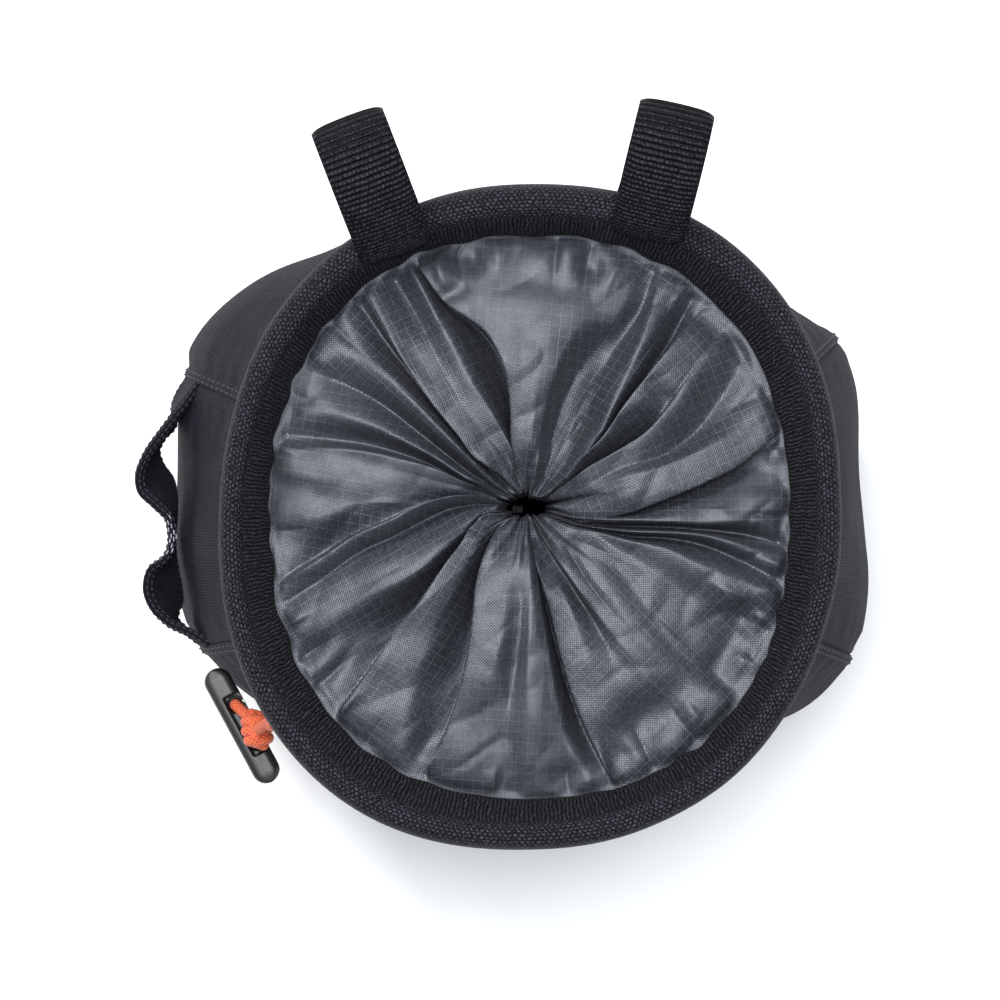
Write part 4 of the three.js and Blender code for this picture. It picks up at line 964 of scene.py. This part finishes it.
def pull_handle():
    """A rounded bar with a recess and two sockets, softened as moulded plastic is."""
    count, sides = 60, 40
    half_length, half_width, half_height = HANDLE_LENGTH / 2, HANDLE_WIDTH / 2, HANDLE_HEIGHT / 2
    straight = half_length - half_width
    s = half_length * np.sin(np.linspace(-math.pi / 2, math.pi / 2, count))
    over = np.maximum(np.abs(s) - straight, 0) / half_width
    width = half_width * np.sqrt(np.maximum(1 - over**2, 0.0009))
    height = half_height * (1 - 0.16 * np.maximum(over - 0.1, 0) ** 2)
    angle = full_turn(sides)
    section = oval_radius(angle[None], width[:, None], height[:, None], 4.5)
    points = np.stack(np.broadcast_arrays(s[:, None], section * np.cos(angle), section * np.sin(angle)), -1)
    points = points.reshape(-1, 3)
    quads, _, _ = grid_faces(count, sides, False, True)
    ends = np.stack([np.arange(sides)[::-1], np.arange(sides) + (count - 1) * sides])
    faces, _ = turned_outward(points, [quads, ends])
    piece = make_piece("moulded_handle", points, faces, None, PLASTIC, ["pull_handle"])
    recess_centre = (0, BRIDGE_WIDTH, HANDLE_HEIGHT - RECESS_DEPTH)
    cutters = [box_object("recess", (RECESS_LENGTH, HANDLE_WIDTH, HANDLE_HEIGHT), recess_centre)]
    floor = HANDLE_HEIGHT - RECESS_DEPTH - SOCKET_DEPTH
    for side in (-1, 1):
        low = np.array([side * SOCKET_SPACING / 2, SOCKET_INSET, floor - HANDLE_HEIGHT / 2])
        path = [low, low + [0, 0, 1], low + [0, 0, HANDLE_HEIGHT]]
        rings, groups, _ = tube_part(path, SOCKET_DIAMETER / 2, 24)
        cutters.append(plain_object("socket", rings, [face.tolist() for group in groups for face in group]))
    for cutter in cutters:
        cut = piece.modifiers.new("cut", "BOOLEAN")
        cut.object = cutter
        cut.operation = "DIFFERENCE"
    remesh = piece.modifiers.new("even", "REMESH")
    remesh.mode = "VOXEL"
    remesh.voxel_size = 0.16 * MM
    soften = piece.modifiers.new("soften", "SMOOTH")
    soften.factor = 0.5
    soften.iterations = 7
    apply_modifiers(piece)
    for cutter in cutters:
        bpy.data.objects.remove(cutter)
    along, outward_axis, up = (np.asarray(axis) for axis in handle_axes())
    local = np.array([v.co for v in piece.data.vertices])
    placed = local @ np.stack([along, -outward_axis, up]) + np.asarray(HANDLE_CENTRE) * MM
    piece.data.vertices.foreach_set("co", placed.astype(np.float32).ravel())
    piece.data.polygons.foreach_set("use_smooth", np.ones(len(piece.data.polygons), bool))
    if not piece.data.materials:
        piece.data.materials.append(PLASTIC)
    piece.data.update()
    return piece


def surface_frame(azimuth, height):
    """The outer face's point and its outward unit normal there."""
    step = 0.01
    here = body_point(azimuth, height)
    round_it = body_point(azimuth + step, height) - body_point(azimuth - step, height)
    up_it = body_point(azimuth, height + 1) - body_point(azimuth, height - 1)
    return here, unit(np.cross(round_it, up_it))


def cord_eyelet():
    """A rounded ring round the cord's exit."""
    centre, normal = surface_frame(CORD_AZIMUTH * DEGREE, EXIT_HEIGHT)
    centre = centre + normal * (2 * CLEARANCE + EYELET_THICKNESS / 2)
    side = unit(np.cross(normal, (0, 0, 1)))
    other = np.cross(normal, side)
    turn, angle = full_turn(64), full_turn(20)
    width = (EYELET_DIAMETER - EYELET_HOLE) / 4
    middle = EYELET_HOLE / 2 + width
    reach = oval_radius(angle, width, EYELET_THICKNESS / 2, 3)
    direction = side * np.cos(turn)[:, None] + other * np.sin(turn)[:, None]
    sections = centre + direction[:, None] * (middle + reach * np.cos(angle))[:, None]
    sections = sections + normal * (reach * np.sin(angle))[:, None]
    weave = along_and_across(sections)
    return loft("exit_ring", sections, weave, PLASTIC, ["cord_eyelet"], wrap=True)


# Collar


def collar_radius(heading):
    """How far the collar's edge lies from the mouth's centre along a heading."""
    azimuth = np.linspace(0, TURN, 721)
    x, y = (rim_point(opening_radius(azimuth), azimuth, 0) - [MOUTH_X, MOUTH_Y, 0]).T[:2]
    angle = np.unwrap(np.arctan2(y, x))
    turned = (heading - angle[0]) % TURN + angle[0]
    return np.interp(turned, angle, np.hypot(x, y))


def fold_paths(radius):
    """Azimuth in degrees and height of each fold line at one radius, in order round the collar."""
    at, up = (np.array([eased(radius, FOLD_RADII, fold[k]) for fold in FOLDS]) for k in (2, 3))
    return np.maximum.accumulate(at + np.arange(len(at)) * 1e-4), up


def folded(x, xs, ys, sharp):
    """A curve through the points, highest and lowest only at them.

    Where sharp is near 1 a low point is a narrow crease between pillows, and where it is 0 a rounded
    hollow."""
    step = np.diff(xs)
    rise = np.diff(ys) / step
    slopes = np.zeros(len(xs))
    same = rise[:-1] * rise[1:] > 0
    weight_a, weight_b = 2 * step[1:] + step[:-1], step[1:] + 2 * step[:-1]
    with np.errstate(divide="ignore", invalid="ignore"):
        inner = (weight_a + weight_b) / (weight_a / rise[:-1] + weight_b / rise[1:])
    slopes[1:-1] = np.where(same, inner, 0)
    i = np.clip(np.searchsorted(xs, x, side="right") - 1, 0, len(xs) - 2)
    h = step[i]
    t = (x - xs[i]) / h
    rounded = (
        ys[i] * (1 + 2 * t) * (1 - t) ** 2
        + slopes[i] * h * t * (1 - t) ** 2
        + ys[i + 1] * t * t * (3 - 2 * t)
        + slopes[i + 1] * h * t * t * (t - 1)
    )
    rising = ys[i + 1] > ys[i]
    climb = np.where(rising, 1 - (1 - t) ** 2.2, t**2.2)
    pillow = ys[i] + (ys[i + 1] - ys[i]) * climb
    return rounded + np.where(rising, sharp[i], sharp[i + 1]) * (pillow - rounded)


def pillows(phase):
    """A row of rounded crests with narrow valleys, between -1 and 1."""
    return 2 * np.abs(np.sin(phase / 2)) ** 0.75 - 1


def collar():
    """The gathered ripstop: crests and valleys from FOLDS over a low dome, with small wrinkles, down into
    the mouth and out to its sewn edge under the facing."""
    heading = full_turn(COLLAR_COLUMNS)
    edge = collar_radius(heading)
    pleat_phase = heading * PLEATS + 2.2 * np.sin(heading * 4 + 1) + 1.2 * np.sin(heading * 7)
    pleat = pillows(pleat_phase) * (0.6 + 0.4 * np.sin(heading * 5 + 0.6))
    pucker_phase = heading * PUCKERS + 2.8 * np.sin(heading * 5) + 2.1 * np.sin(heading * 3 + 1)
    pucker = pillows(pucker_phase) * (0.15 + 0.85 * np.sin(heading * 6.5 + 2) ** 2)
    mouth = oval_radius(heading, MOUTH_HALF_WIDTH, MOUTH_HALF_DEPTH, 2)
    mouth = mouth * (1 - MOUTH_PLEATING * pleat) + 0.4 * np.sin(heading * 3 + 2) + 0.25 * np.sin(heading * 5)
    rows = []
    degrees = heading / DEGREE
    sharp = np.tile([value if kind == "crease" else FOLD_SHARPNESS for kind, value, _, _ in FOLDS], 3)
    lean = np.tile([0 if kind == "crease" else value for kind, value, _, _ in FOLDS], 3)
    for s in np.linspace(0, 1, COLLAR_ROWS) ** 0.95:
        reach = mouth + (edge - mouth) * s
        typical = float(np.mean(reach))
        at, up = fold_paths(typical)
        xs = np.concatenate([at - 360, at, at + 360])
        up = np.where(up > 0, up * CREST_SHARE, up * VALLEY_SHARE)
        relief = folded(degrees, xs, np.tile(up, 3), sharp)
        shift = folded(degrees, xs, lean, sharp * 0) * OVERHANG / max(typical, 9.0)
        fade_mouth = float(smooth_step(typical, 1.0, 8.0))
        fade_edge = float(faded(s, 0.95, 1.0))
        puff = COLLAR_PUFF * math.sin(math.pi * min(s * 0.9 + 0.1, 1)) ** 1.2
        height = COLLAR_EDGE_HEIGHT + puff + relief * fade_mouth * fade_edge
        height = height - MOUTH_SINK * faded(typical, 2.5, 14.0)
        x, y = reach * np.cos(heading), reach * np.sin(heading)
        height = height + PLEAT_HEIGHT * pleat * faded(typical, 4, 13)
        near_edge = smooth_step(s, 0.76, 0.93) * faded(s, 0.975, 1.0)
        height = height + PUCKER_HEIGHT * pucker * near_edge
        height = height + BROAD_WRINKLES * ripple(x, y, 9, 3) * fade_edge
        height = height + FINE_WRINKLES * ripple(x, y, 3.5, 4) * fade_edge
        patchy = 0.5 + 0.5 * ripple(x, y, 12, 5)
        strength = RADIAL_CREASES * fade_edge * float(faded(s, 0.55, 0.85))
        height = height + creased(heading * 26, reach * 0.3, 4.5, 6) * strength * np.clip(patchy, 0.15, 1)
        height = height - SOFT_CREASES * creased(x, y, 7, 9) * fade_edge * np.clip(1.2 - patchy, 0.1, 1)
        for azimuth, middle, round_it, outwards, depth in DIMPLES:
            turn = (degrees - azimuth + 180) % 360 - 180
            spread = np.where(turn > 0, 0.55, 1.5) * round_it if depth < 0 else round_it
            falloff = (turn * DEGREE * middle / spread) ** 2 + ((reach - middle) / outwards) ** 2
            height = height - depth * np.exp(-falloff) * faded(s, 0.96, 1.0)
        height = height - EDGE_DIP * smooth_step(s, 0.92, 0.985)
        turned = heading + shift * fade_mouth * fade_edge
        x, y = MOUTH_X + reach * np.cos(turned), MOUTH_Y + reach * np.sin(turned)
        rows.append(np.stack([x, y, height], -1))
    surface = np.stack(rows)
    throat = []
    for drop in (THROAT_DEPTH, THROAT_DEPTH * 0.66, THROAT_DEPTH * 0.33, 1.2):
        ring = surface[0].copy()
        ring[:, :2] += ([MOUTH_X, MOUTH_Y] - ring[:, :2]) * THROAT_NARROWING * drop / THROAT_DEPTH
        ring[:, 2] -= drop
        throat.append(ring)
    hem = []
    for number, out in enumerate((0.8, 1.6, COLLAR_TUCK), 1):
        ring = surface[-1].copy()
        ring[:, 0] += out * np.cos(heading)
        ring[:, 1] += out * np.sin(heading)
        ring[:, 2] -= 0.1 * number
        hem.append(ring)
    points = np.concatenate([throat, surface, hem])
    quads, _, _ = grid_faces(len(points), COLLAR_COLUMNS, False, True)
    weave = collar_weave(points, quads)
    flat = points.reshape(-1, 3)
    a, b, d = flat[quads[:, 0]], flat[quads[:, 1]], flat[quads[:, 3]]
    if np.cross(b - a, d - a)[:, 2].mean() < 0:
        quads, weave = quads[:, ::-1], weave[:, ::-1]
    piece = make_piece("collar_cloth", flat, [quads], [weave], RIPSTOP, ["collar"])


def collar_weave(points, quads):
    """The ripstop's place at each corner of each quad: between two creases its threads run straight."""
    x = (points[..., 0] - MOUTH_X).ravel()[quads]
    y = (points[..., 1] - MOUTH_Y).ravel()[quads]
    radius = np.clip(np.hypot(x.mean(1), y.mean(1)), FOLD_RADII[0], FOLD_RADII[-1])
    azimuth = np.degrees(np.arctan2(y.mean(1), x.mean(1))) % 360
    creases = [fold[2] for fold in FOLDS if fold[0] == "crease"]
    bounds = np.array([eased(radius, FOLD_RADII, at) for at in creases])
    sector = ((azimuth[None] - bounds[0]) % 360 >= (bounds - bounds[0]) % 360).sum(0) - 1
    outer = np.array([at[4] for at in creases])
    centres = (outer + np.append(outer[1:], outer[0] + 360)) / 2 * DEGREE
    cosine, sine = np.cos(centres[sector])[:, None], np.sin(centres[sector])[:, None]
    return np.stack([x * cosine + y * sine, y * cosine - x * sine], -1)


# Rim


def rim_roll():
    """The padded roll in its binding, which sways a little."""
    azimuth = full_turn(900)[:, None]
    half = roll_width(azimuth) / 2
    middle = rim_radius(azimuth) - half
    turn = full_turn(72)[None]
    reach = oval_radius(turn, half, ROLL_HEIGHT / 2, ROLL_SQUARENESS)
    sway = ROLL_SWAY * ripple_round(azimuth, ROLL_RADIUS, 14, 11) * (1 + np.cos(turn - 1.2)) / 2
    across = reach * np.cos(turn) + sway
    up = reach * np.sin(turn) + sway * 0.7
    sections = rim_point(middle + across, azimuth, BAG_HEIGHT - ROLL_HEIGHT / 2 + up)
    girth = run_along(np.concatenate([sections[0], sections[0][:1]]))
    girth = girth * (round(girth[-1] / THREAD_PAIR) * THREAD_PAIR / girth[-1])
    weave = grid_weave(np.append(azimuth[:, 0], TURN) * ROLL_RADIUS, girth)
    piece = loft("rim_binding", sections, weave, BINDING, ["rim_roll"], wrap=True)


def rim_facing():
    """The band from the roll, where share is 0, down to its inner edge, where share is 1."""
    columns = 15
    azimuth = full_turn(600)[:, None]
    share = np.linspace(0, 1, columns)[None]
    outer = rim_radius(azimuth) - roll_width(azimuth) + FACING_UNDERLAP
    inner = opening_radius(azimuth) + FACING_WANDER * ripple_round(azimuth, FACING_RIPPLE_RADIUS, 4, 23)
    radius = outer + (inner - outer) * share
    height = BAG_HEIGHT - FACING_TOP_DROP - FACING_SLOPE_DROP * share**1.5
    height = height + FACING_WAVE * ripple_round(azimuth, FACING_RIPPLE_RADIUS, 5, 21) * share
    edge = 0.35 * np.exp(-(((1 - share) / 0.06) ** 2)) + 0.3 * np.exp(-((share / 0.06) ** 2))
    upper = rim_point(radius, azimuth, height - edge)
    lower = rim_point(radius, azimuth, height - FACING_THICKNESS + edge * 0.5)
    across = np.linspace(0, FACING_WIDTH, columns)
    girth = np.concatenate([across, across[::-1] + FACING_WIDTH, [2 * FACING_WIDTH]])
    weave = grid_weave(np.append(azimuth[:, 0], TURN) * FACING_WEAVE_RADIUS, girth)
    return loft("rim_band", two_faced(upper, lower), weave, FACING, ["rim_facing"], wrap=True)


# Body


def panel_surface(side, columns_between, rows):
    """Azimuths, heights and the distance to the nearer seam on a grid over one panel."""
    start, end = side["start"] * DEGREE, side["end"] * DEGREE
    level = 0.5 - 0.5 * np.cos(np.linspace(0, math.pi, rows))
    level = 0.5 * level + 0.5 * np.linspace(0, 1, rows)
    height = level[:, None] * WALL_TOP
    near = np.array(FELLED_COLUMNS if side["felled"] else PLAIN_COLUMNS)
    radius_start = np.linalg.norm(body_point(start, height)[..., :2], axis=-1)
    radius_end = np.linalg.norm(body_point(end, height)[..., :2], axis=-1)
    first = start + near[None] / radius_start
    last = end - near[None, ::-1] / radius_end
    between = np.linspace(0, 1, columns_between + 2)[None, 1:-1]
    middle = first[:, -1:] + (last[:, :1] - first[:, -1:]) * between
    azimuth = np.concatenate([first, middle, last], 1)
    from_start = (azimuth - start) * radius_start
    from_end = (end - azimuth) * radius_end
    return azimuth, np.broadcast_to(height, azimuth.shape), np.minimum(from_start, from_end)


def body_panel(side, seed):
    azimuth, height, seam = panel_surface(side, 150, 116)
    level = height / WALL_TOP
    arc_length = azimuth * PANEL_RADIUS
    fell = FELL_HEIGHT * faded(seam, 1.7, 2.7) * smooth_step(seam, -0.25, 0.8)
    if not side["felled"]:
        fell = -UNDERLAP_DEPTH * faded(seam, -0.4, 1.1)
    off_seam = smooth_step(seam, 2.3, 6.0)
    pucker = SEAM_PUCKER * np.exp(-np.maximum(seam - 2.2, 0) / 6) * smooth_step(seam, 1.8, 3.2)
    pucker = pucker * np.sin(height * TURN / SEAM_PUCKER_PITCH + 2.2 * np.sin(height / 11 + seed))
    gather = GATHER_DEPTH * smooth_step(level, 0.8, 0.98) * off_seam
    gather = gather * ripple(arc_length, height * 0.15, 3.2, seed + 30)
    drape = DRAPE_DEPTH * ripple(arc_length, height * 0.8, 22, seed)
    drape = drape + FINE_DRAPE_DEPTH * ripple(arc_length, height, 9, seed + 60)
    drape = drape * off_seam * smooth_step(level, 0.0, 0.12) * faded(level, 0.9, 1.0)
    outer = body_point(azimuth, height, fell + pucker + gather + drape)
    thin = faded(seam, 2.0, 4.5)
    depth = -WALL + (WALL + 0.1) * thin * (1 if side["felled"] else 0.55)
    sections = two_faced(outer, body_point(azimuth, height, depth))
    girth = np.concatenate([arc_length, arc_length[:, ::-1], arc_length[:, :1]], 1)
    rise = 0.5 * height
    rise = np.concatenate([rise, rise[:, ::-1], rise[:, :1]], 1)
    name = side["name"].replace("_panel", "_cloth")
    return loft(name, sections, np.stack([girth, rise], -1), NYLON, [side["name"]])


def seam_stitching():
    """Two rows of topstitching on each fell."""
    runs = []
    height = np.linspace(3, WALL_TOP - 0.5, 90)
    for side in (side for side in SIDES if side["felled"]):
        for edge, sign in ((side["start"], 1), (side["end"], -1)):
            for inset in (0.6, 1.7):
                radius = np.linalg.norm(body_point(edge * DEGREE, height)[:, :2], axis=1)
                azimuth = edge * DEGREE + sign * inset / radius
                points = body_point(azimuth, height, FELL_HEIGHT)
                runs.append((points, surface_frame(azimuth, height)[1]))
    return stitches("seam_stitches", runs, 2.3, 0.9, 0.17, DARK_THREAD, sink=0.7)


def base_cloth():
    """The base, a shallow dish of nylon with a turned edge."""
    azimuth = full_turn(220)[None]
    share = np.linspace(0.02, 1, 26)[:, None]
    reach = np.linalg.norm(body_point(azimuth, 0.0, -WALL - CLEARANCE * 1.5)[..., :2], axis=-1) * share
    x, y = reach * np.cos(azimuth), reach * np.sin(azimuth)
    crown = 0.35 * (1 - share**2) + 0.12 * ripple(x, y, 16, 81)
    lift = np.maximum(crown * 0.6, 0.02) * faded(share, 0.95, 1.0) + 0.02
    low = np.stack([x, y, lift + 0 * x], -1)
    high = np.stack([x, y, 1.7 + crown], -1)
    sections = np.concatenate([low, high[::-1]], 0).transpose(1, 0, 2)
    weave = sections[..., :2]
    weave = np.concatenate([weave, weave[:, :1]], 1)
    weave = np.concatenate([weave, weave[:1]], 0)
    return loft("base_cloth", sections, weave, NYLON, ["base_panel"], wrap=True)


# Belt loops


def loop_path(loop):
    """Points along a belt loop and the direction across its width at each."""
    azimuth, heading = loop["azimuth"] * DEGREE, loop["heading"] * DEGREE
    base = rim_point(rim_radius(azimuth), azimuth, BAG_HEIGHT)
    direction = np.array([math.cos(heading), math.sin(heading), 0])
    across = np.array([-direction[1], direction[0], 0])
    half = LOOP_THICKNESS / 2
    points, sides = [], []
    for out, up in LOOP_ROWS:
        height = BAG_HEIGHT + up * LOOP_RISE
        if out is None:
            points.append(body_point(azimuth, height, half + CLEARANCE))
            side = body_point(azimuth + DEGREE, height) - body_point(azimuth - DEGREE, height)
            sides.append(unit(side * [1, 1, 0]))
        else:
            points.append(base + direction * out * (loop["reach"] if out > 0 else LOOP_REACH))
            points[-1][2] = height + half + CLEARANCE
            sides.append(across)
    return np.array(points), np.array(sides)


def belt_loop(loop):
    """A ribbed band that is cupped a little, with its path, the way across it and its normal."""
    points, sides = loop_path(loop)
    count = 560
    path = smooth_path(points, count)
    run = run_along(points)
    wide = unit(read_along(np.linspace(0, run[-1], count), run, sides))
    normal = unit(np.cross(unit(np.gradient(path, axis=0)), wide))
    length = run_along(path)
    spread = np.sin(np.linspace(-math.pi / 2, math.pi / 2, 24))
    thick = LOOP_THICKNESS / 2 * (1 - np.abs(spread) ** 8 * 0.75)
    rib = RIB_HEIGHT * np.cos(length * TURN / LOOP_RIB)[:, None] * (1 - np.abs(spread) ** 6)
    cup = LOOP_CUP * spread**2
    upper = path[:, None] + wide[:, None] * (LOOP_WIDTH / 2 * spread)[:, None]
    face = upper + normal[:, None] * (thick + rib - cup)[..., None]
    back = upper - normal[:, None] * (thick + rib + cup)[..., None]
    across = spread * LOOP_WIDTH / 2
    weave = grid_weave(length, np.concatenate([across, across[::-1], across[:1]]))
    loft(loop["name"] + "_webbing", two_faced(face, back), weave, WEBBING, [loop["name"]])
    return path, wide, normal


def loop_bartacks(loops):
    """Box stitching where the webbing is sewn on the back."""
    runs = []
    for path, wide, normal in loops:
        low, high = (int(len(path) * share) for share in BOX_SHARES)
        for level in (low, high):
            line = [path[level] + wide[level] * x for x in np.linspace(-BOX_HALF_WIDTH, BOX_HALF_WIDTH, 14)]
            runs.append((np.array(line), np.tile(-normal[level], (14, 1))))
        for edge in (-BOX_HALF_WIDTH, BOX_HALF_WIDTH):
            runs.append((path[low:high:6] + wide[low:high:6] * edge, -normal[low:high:6]))
    runs = [(points + normals * (LOOP_THICKNESS / 2 + 0.1), normals) for points, normals in runs]
    return stitches("loop_stitches", runs, 1.8, 0.7, 0.22, DARK_THREAD)


# Brush strip


def strip_edges(count=320):
    """Points along the strip's lower and upper edges."""
    off = STRIP_THICKNESS / 2 + CLEARANCE + STRIP_SEAM_RISE
    bottom = STRIP_MIDDLE_HEIGHT - STRIP_HEIGHT / 2
    low_azimuths, low_stands = np.array(LOWER_EDGE).T
    low = body_point(low_azimuths * DEGREE, bottom, off + low_stands)
    azimuths, stands = np.array(STRIP_AZIMUTHS) * DEGREE, np.array(STRIP_STANDS)
    reach = off + stands * STRIP_STAND_DEPTH
    upright = body_point(azimuths, bottom, reach)
    sloped = body_point(azimuths, bottom + STRIP_HEIGHT, reach)
    upright[:, 2] = sloped[:, 2]
    middle = 0.7 * smooth_step(azimuths, 176 * DEGREE, 180 * DEGREE)
    middle = middle * faded(azimuths, 188 * DEGREE, 193 * DEGREE)
    share = np.maximum(np.clip(stands * STRIP_UPRIGHT_SHARE, 0, 1), middle)
    high = sloped + (upright - sloped) * share[:, None]
    return smooth_path(low, count), smooth_path(high, count)


def strip_line(height_share):
    """Points along the strip at a share of its height, from its lower edge to its upper one."""
    low, high = strip_edges()
    return low + (high - low) * height_share


def degrees_round(line):
    return np.degrees(np.arctan2(line[:, 1], line[:, 0])) % 360


def strip_normals(line):
    forward = unit(np.gradient(line, axis=0))
    return unit(np.stack([forward[:, 1], -forward[:, 0], 0 * forward[:, 0]], -1))


def brush_strip():
    shares = 0.5 - 0.5 * np.cos(np.linspace(0, math.pi, 26))
    lines = np.stack([strip_line(s) for s in shares], 1)
    normals = np.stack([strip_normals(lines[:, k]) for k in range(len(shares))], 1)
    edge = np.minimum(shares, 1 - shares)
    thick = STRIP_THICKNESS / 2 * (0.55 + 0.45 * smooth_step(edge, 0.0, 0.05))
    roll = 0.1 * np.exp(-(((edge - 0.05) / 0.035) ** 2))
    length = run_along(lines[:, 13])
    across = shares * STRIP_HEIGHT
    sway = 0.05 * ripple(length[:, None], across[None], 5, 91)
    face = lines - normals * (thick + roll + sway)[..., None]
    back = lines + normals * (thick + roll - sway)[..., None]
    weave = grid_weave(length, np.concatenate([across, 2 * STRIP_HEIGHT - across[::-1], [0]]))
    return loft("brush_strip_cloth", two_faced(face, back), weave, NYLON, ["brush_strip"])


def strip_stitching():
    """Edge rows on both faces and along the top fold, and a bartack in pale thread between the loops."""
    runs, tacks = [], []
    for share in (0.07, 0.93):
        line = strip_line(share)
        normal = strip_normals(line)
        for side in (-1, 1):
            lifted = line[12:-12] + normal[12:-12] * side * (STRIP_THICKNESS / 2 + 0.08)
            runs.append((lifted, normal[12:-12] * side))
    top = strip_line(1.0)
    shift = strip_normals(top)
    upward = np.tile([0.0, 0.0, 1.0], (len(top), 1))
    for side in (-0.42, 0.42):
        runs.append((top + shift * side, upward))
    stitches("strip_stitches", runs, 0.95, 0.4, 0.13, DARK_THREAD)
    middle = degrees_round(top)
    for azimuth, side in BARTACK_STITCHES:
        at = int(np.argmin(np.abs(middle - azimuth)))
        tacks.append((top[at - 3 : at + 4] + shift[at - 3 : at + 4] * side, upward[:7]))
    for share in np.linspace(0.1, 0.96, 30):
        line = strip_line(share)
        at = int(np.argmin(np.abs(degrees_round(line) - BARTACK_AZIMUTH)))
        normal = strip_normals(line)[at - 2 : at + 3]
        tacks.append((line[at - 2 : at + 3] - normal * (STRIP_THICKNESS / 2 + 0.1), -normal))
    stitches("strip_bartack", tacks, 1.1, 0.2, 0.14, LIGHT_THREAD)


# Floor and light


def floor_and_light():
    corners = np.array([[-1, -1, 0], [1, -1, 0], [1, 1, 0], [-1, 1, 0]]) * FLOOR_HALF_WIDTH
    floor = plain_object("floor", corners, [(0, 1, 2, 3)])
    pale = Shader("pale_floor", 0.9, Specular_IOR_Level=0.1, Base_Color=(0.9, 0.9, 0.9))
    floor.data.materials.append(pale.material)
    world = bpy.data.worlds.new("studio")
    world.use_nodes = True
    background = world.node_tree.nodes["Background"]
    background.inputs["Color"].default_value = (0.93, 0.95, 1.0, 1)
    background.inputs["Strength"].default_value = 0.3
    bpy.context.scene.world = world
    for light in LAMPS:
        data = bpy.data.lights.new(light["name"], "AREA")
        data.size = light["size"]
        data.energy = light["power"]
        data.color = light["colour"]
        lamp = add_object(light["name"], data)
        lamp.location = light["at"]
        lamp.rotation_euler = (Vector(LAMP_TARGET) - lamp.location).to_track_quat("-Z", "Y").to_euler()
    bpy.context.scene.view_settings.view_transform = "Standard"


# Assembly

make_camera()
cord_piece, cord_path = pull_cord()
knot_piece = cord_knot()
handle_piece = pull_handle()
eyelet_piece = cord_eyelet()
collar()
rim_roll()
rim_facing()
for number, panel in enumerate(SIDES):
    body_panel(panel, number + 1)
seam_stitching()
base_cloth()
loop_bartacks([belt_loop(belt) for belt in LOOPS])
brush_strip()
strip_stitching()
floor_and_light()
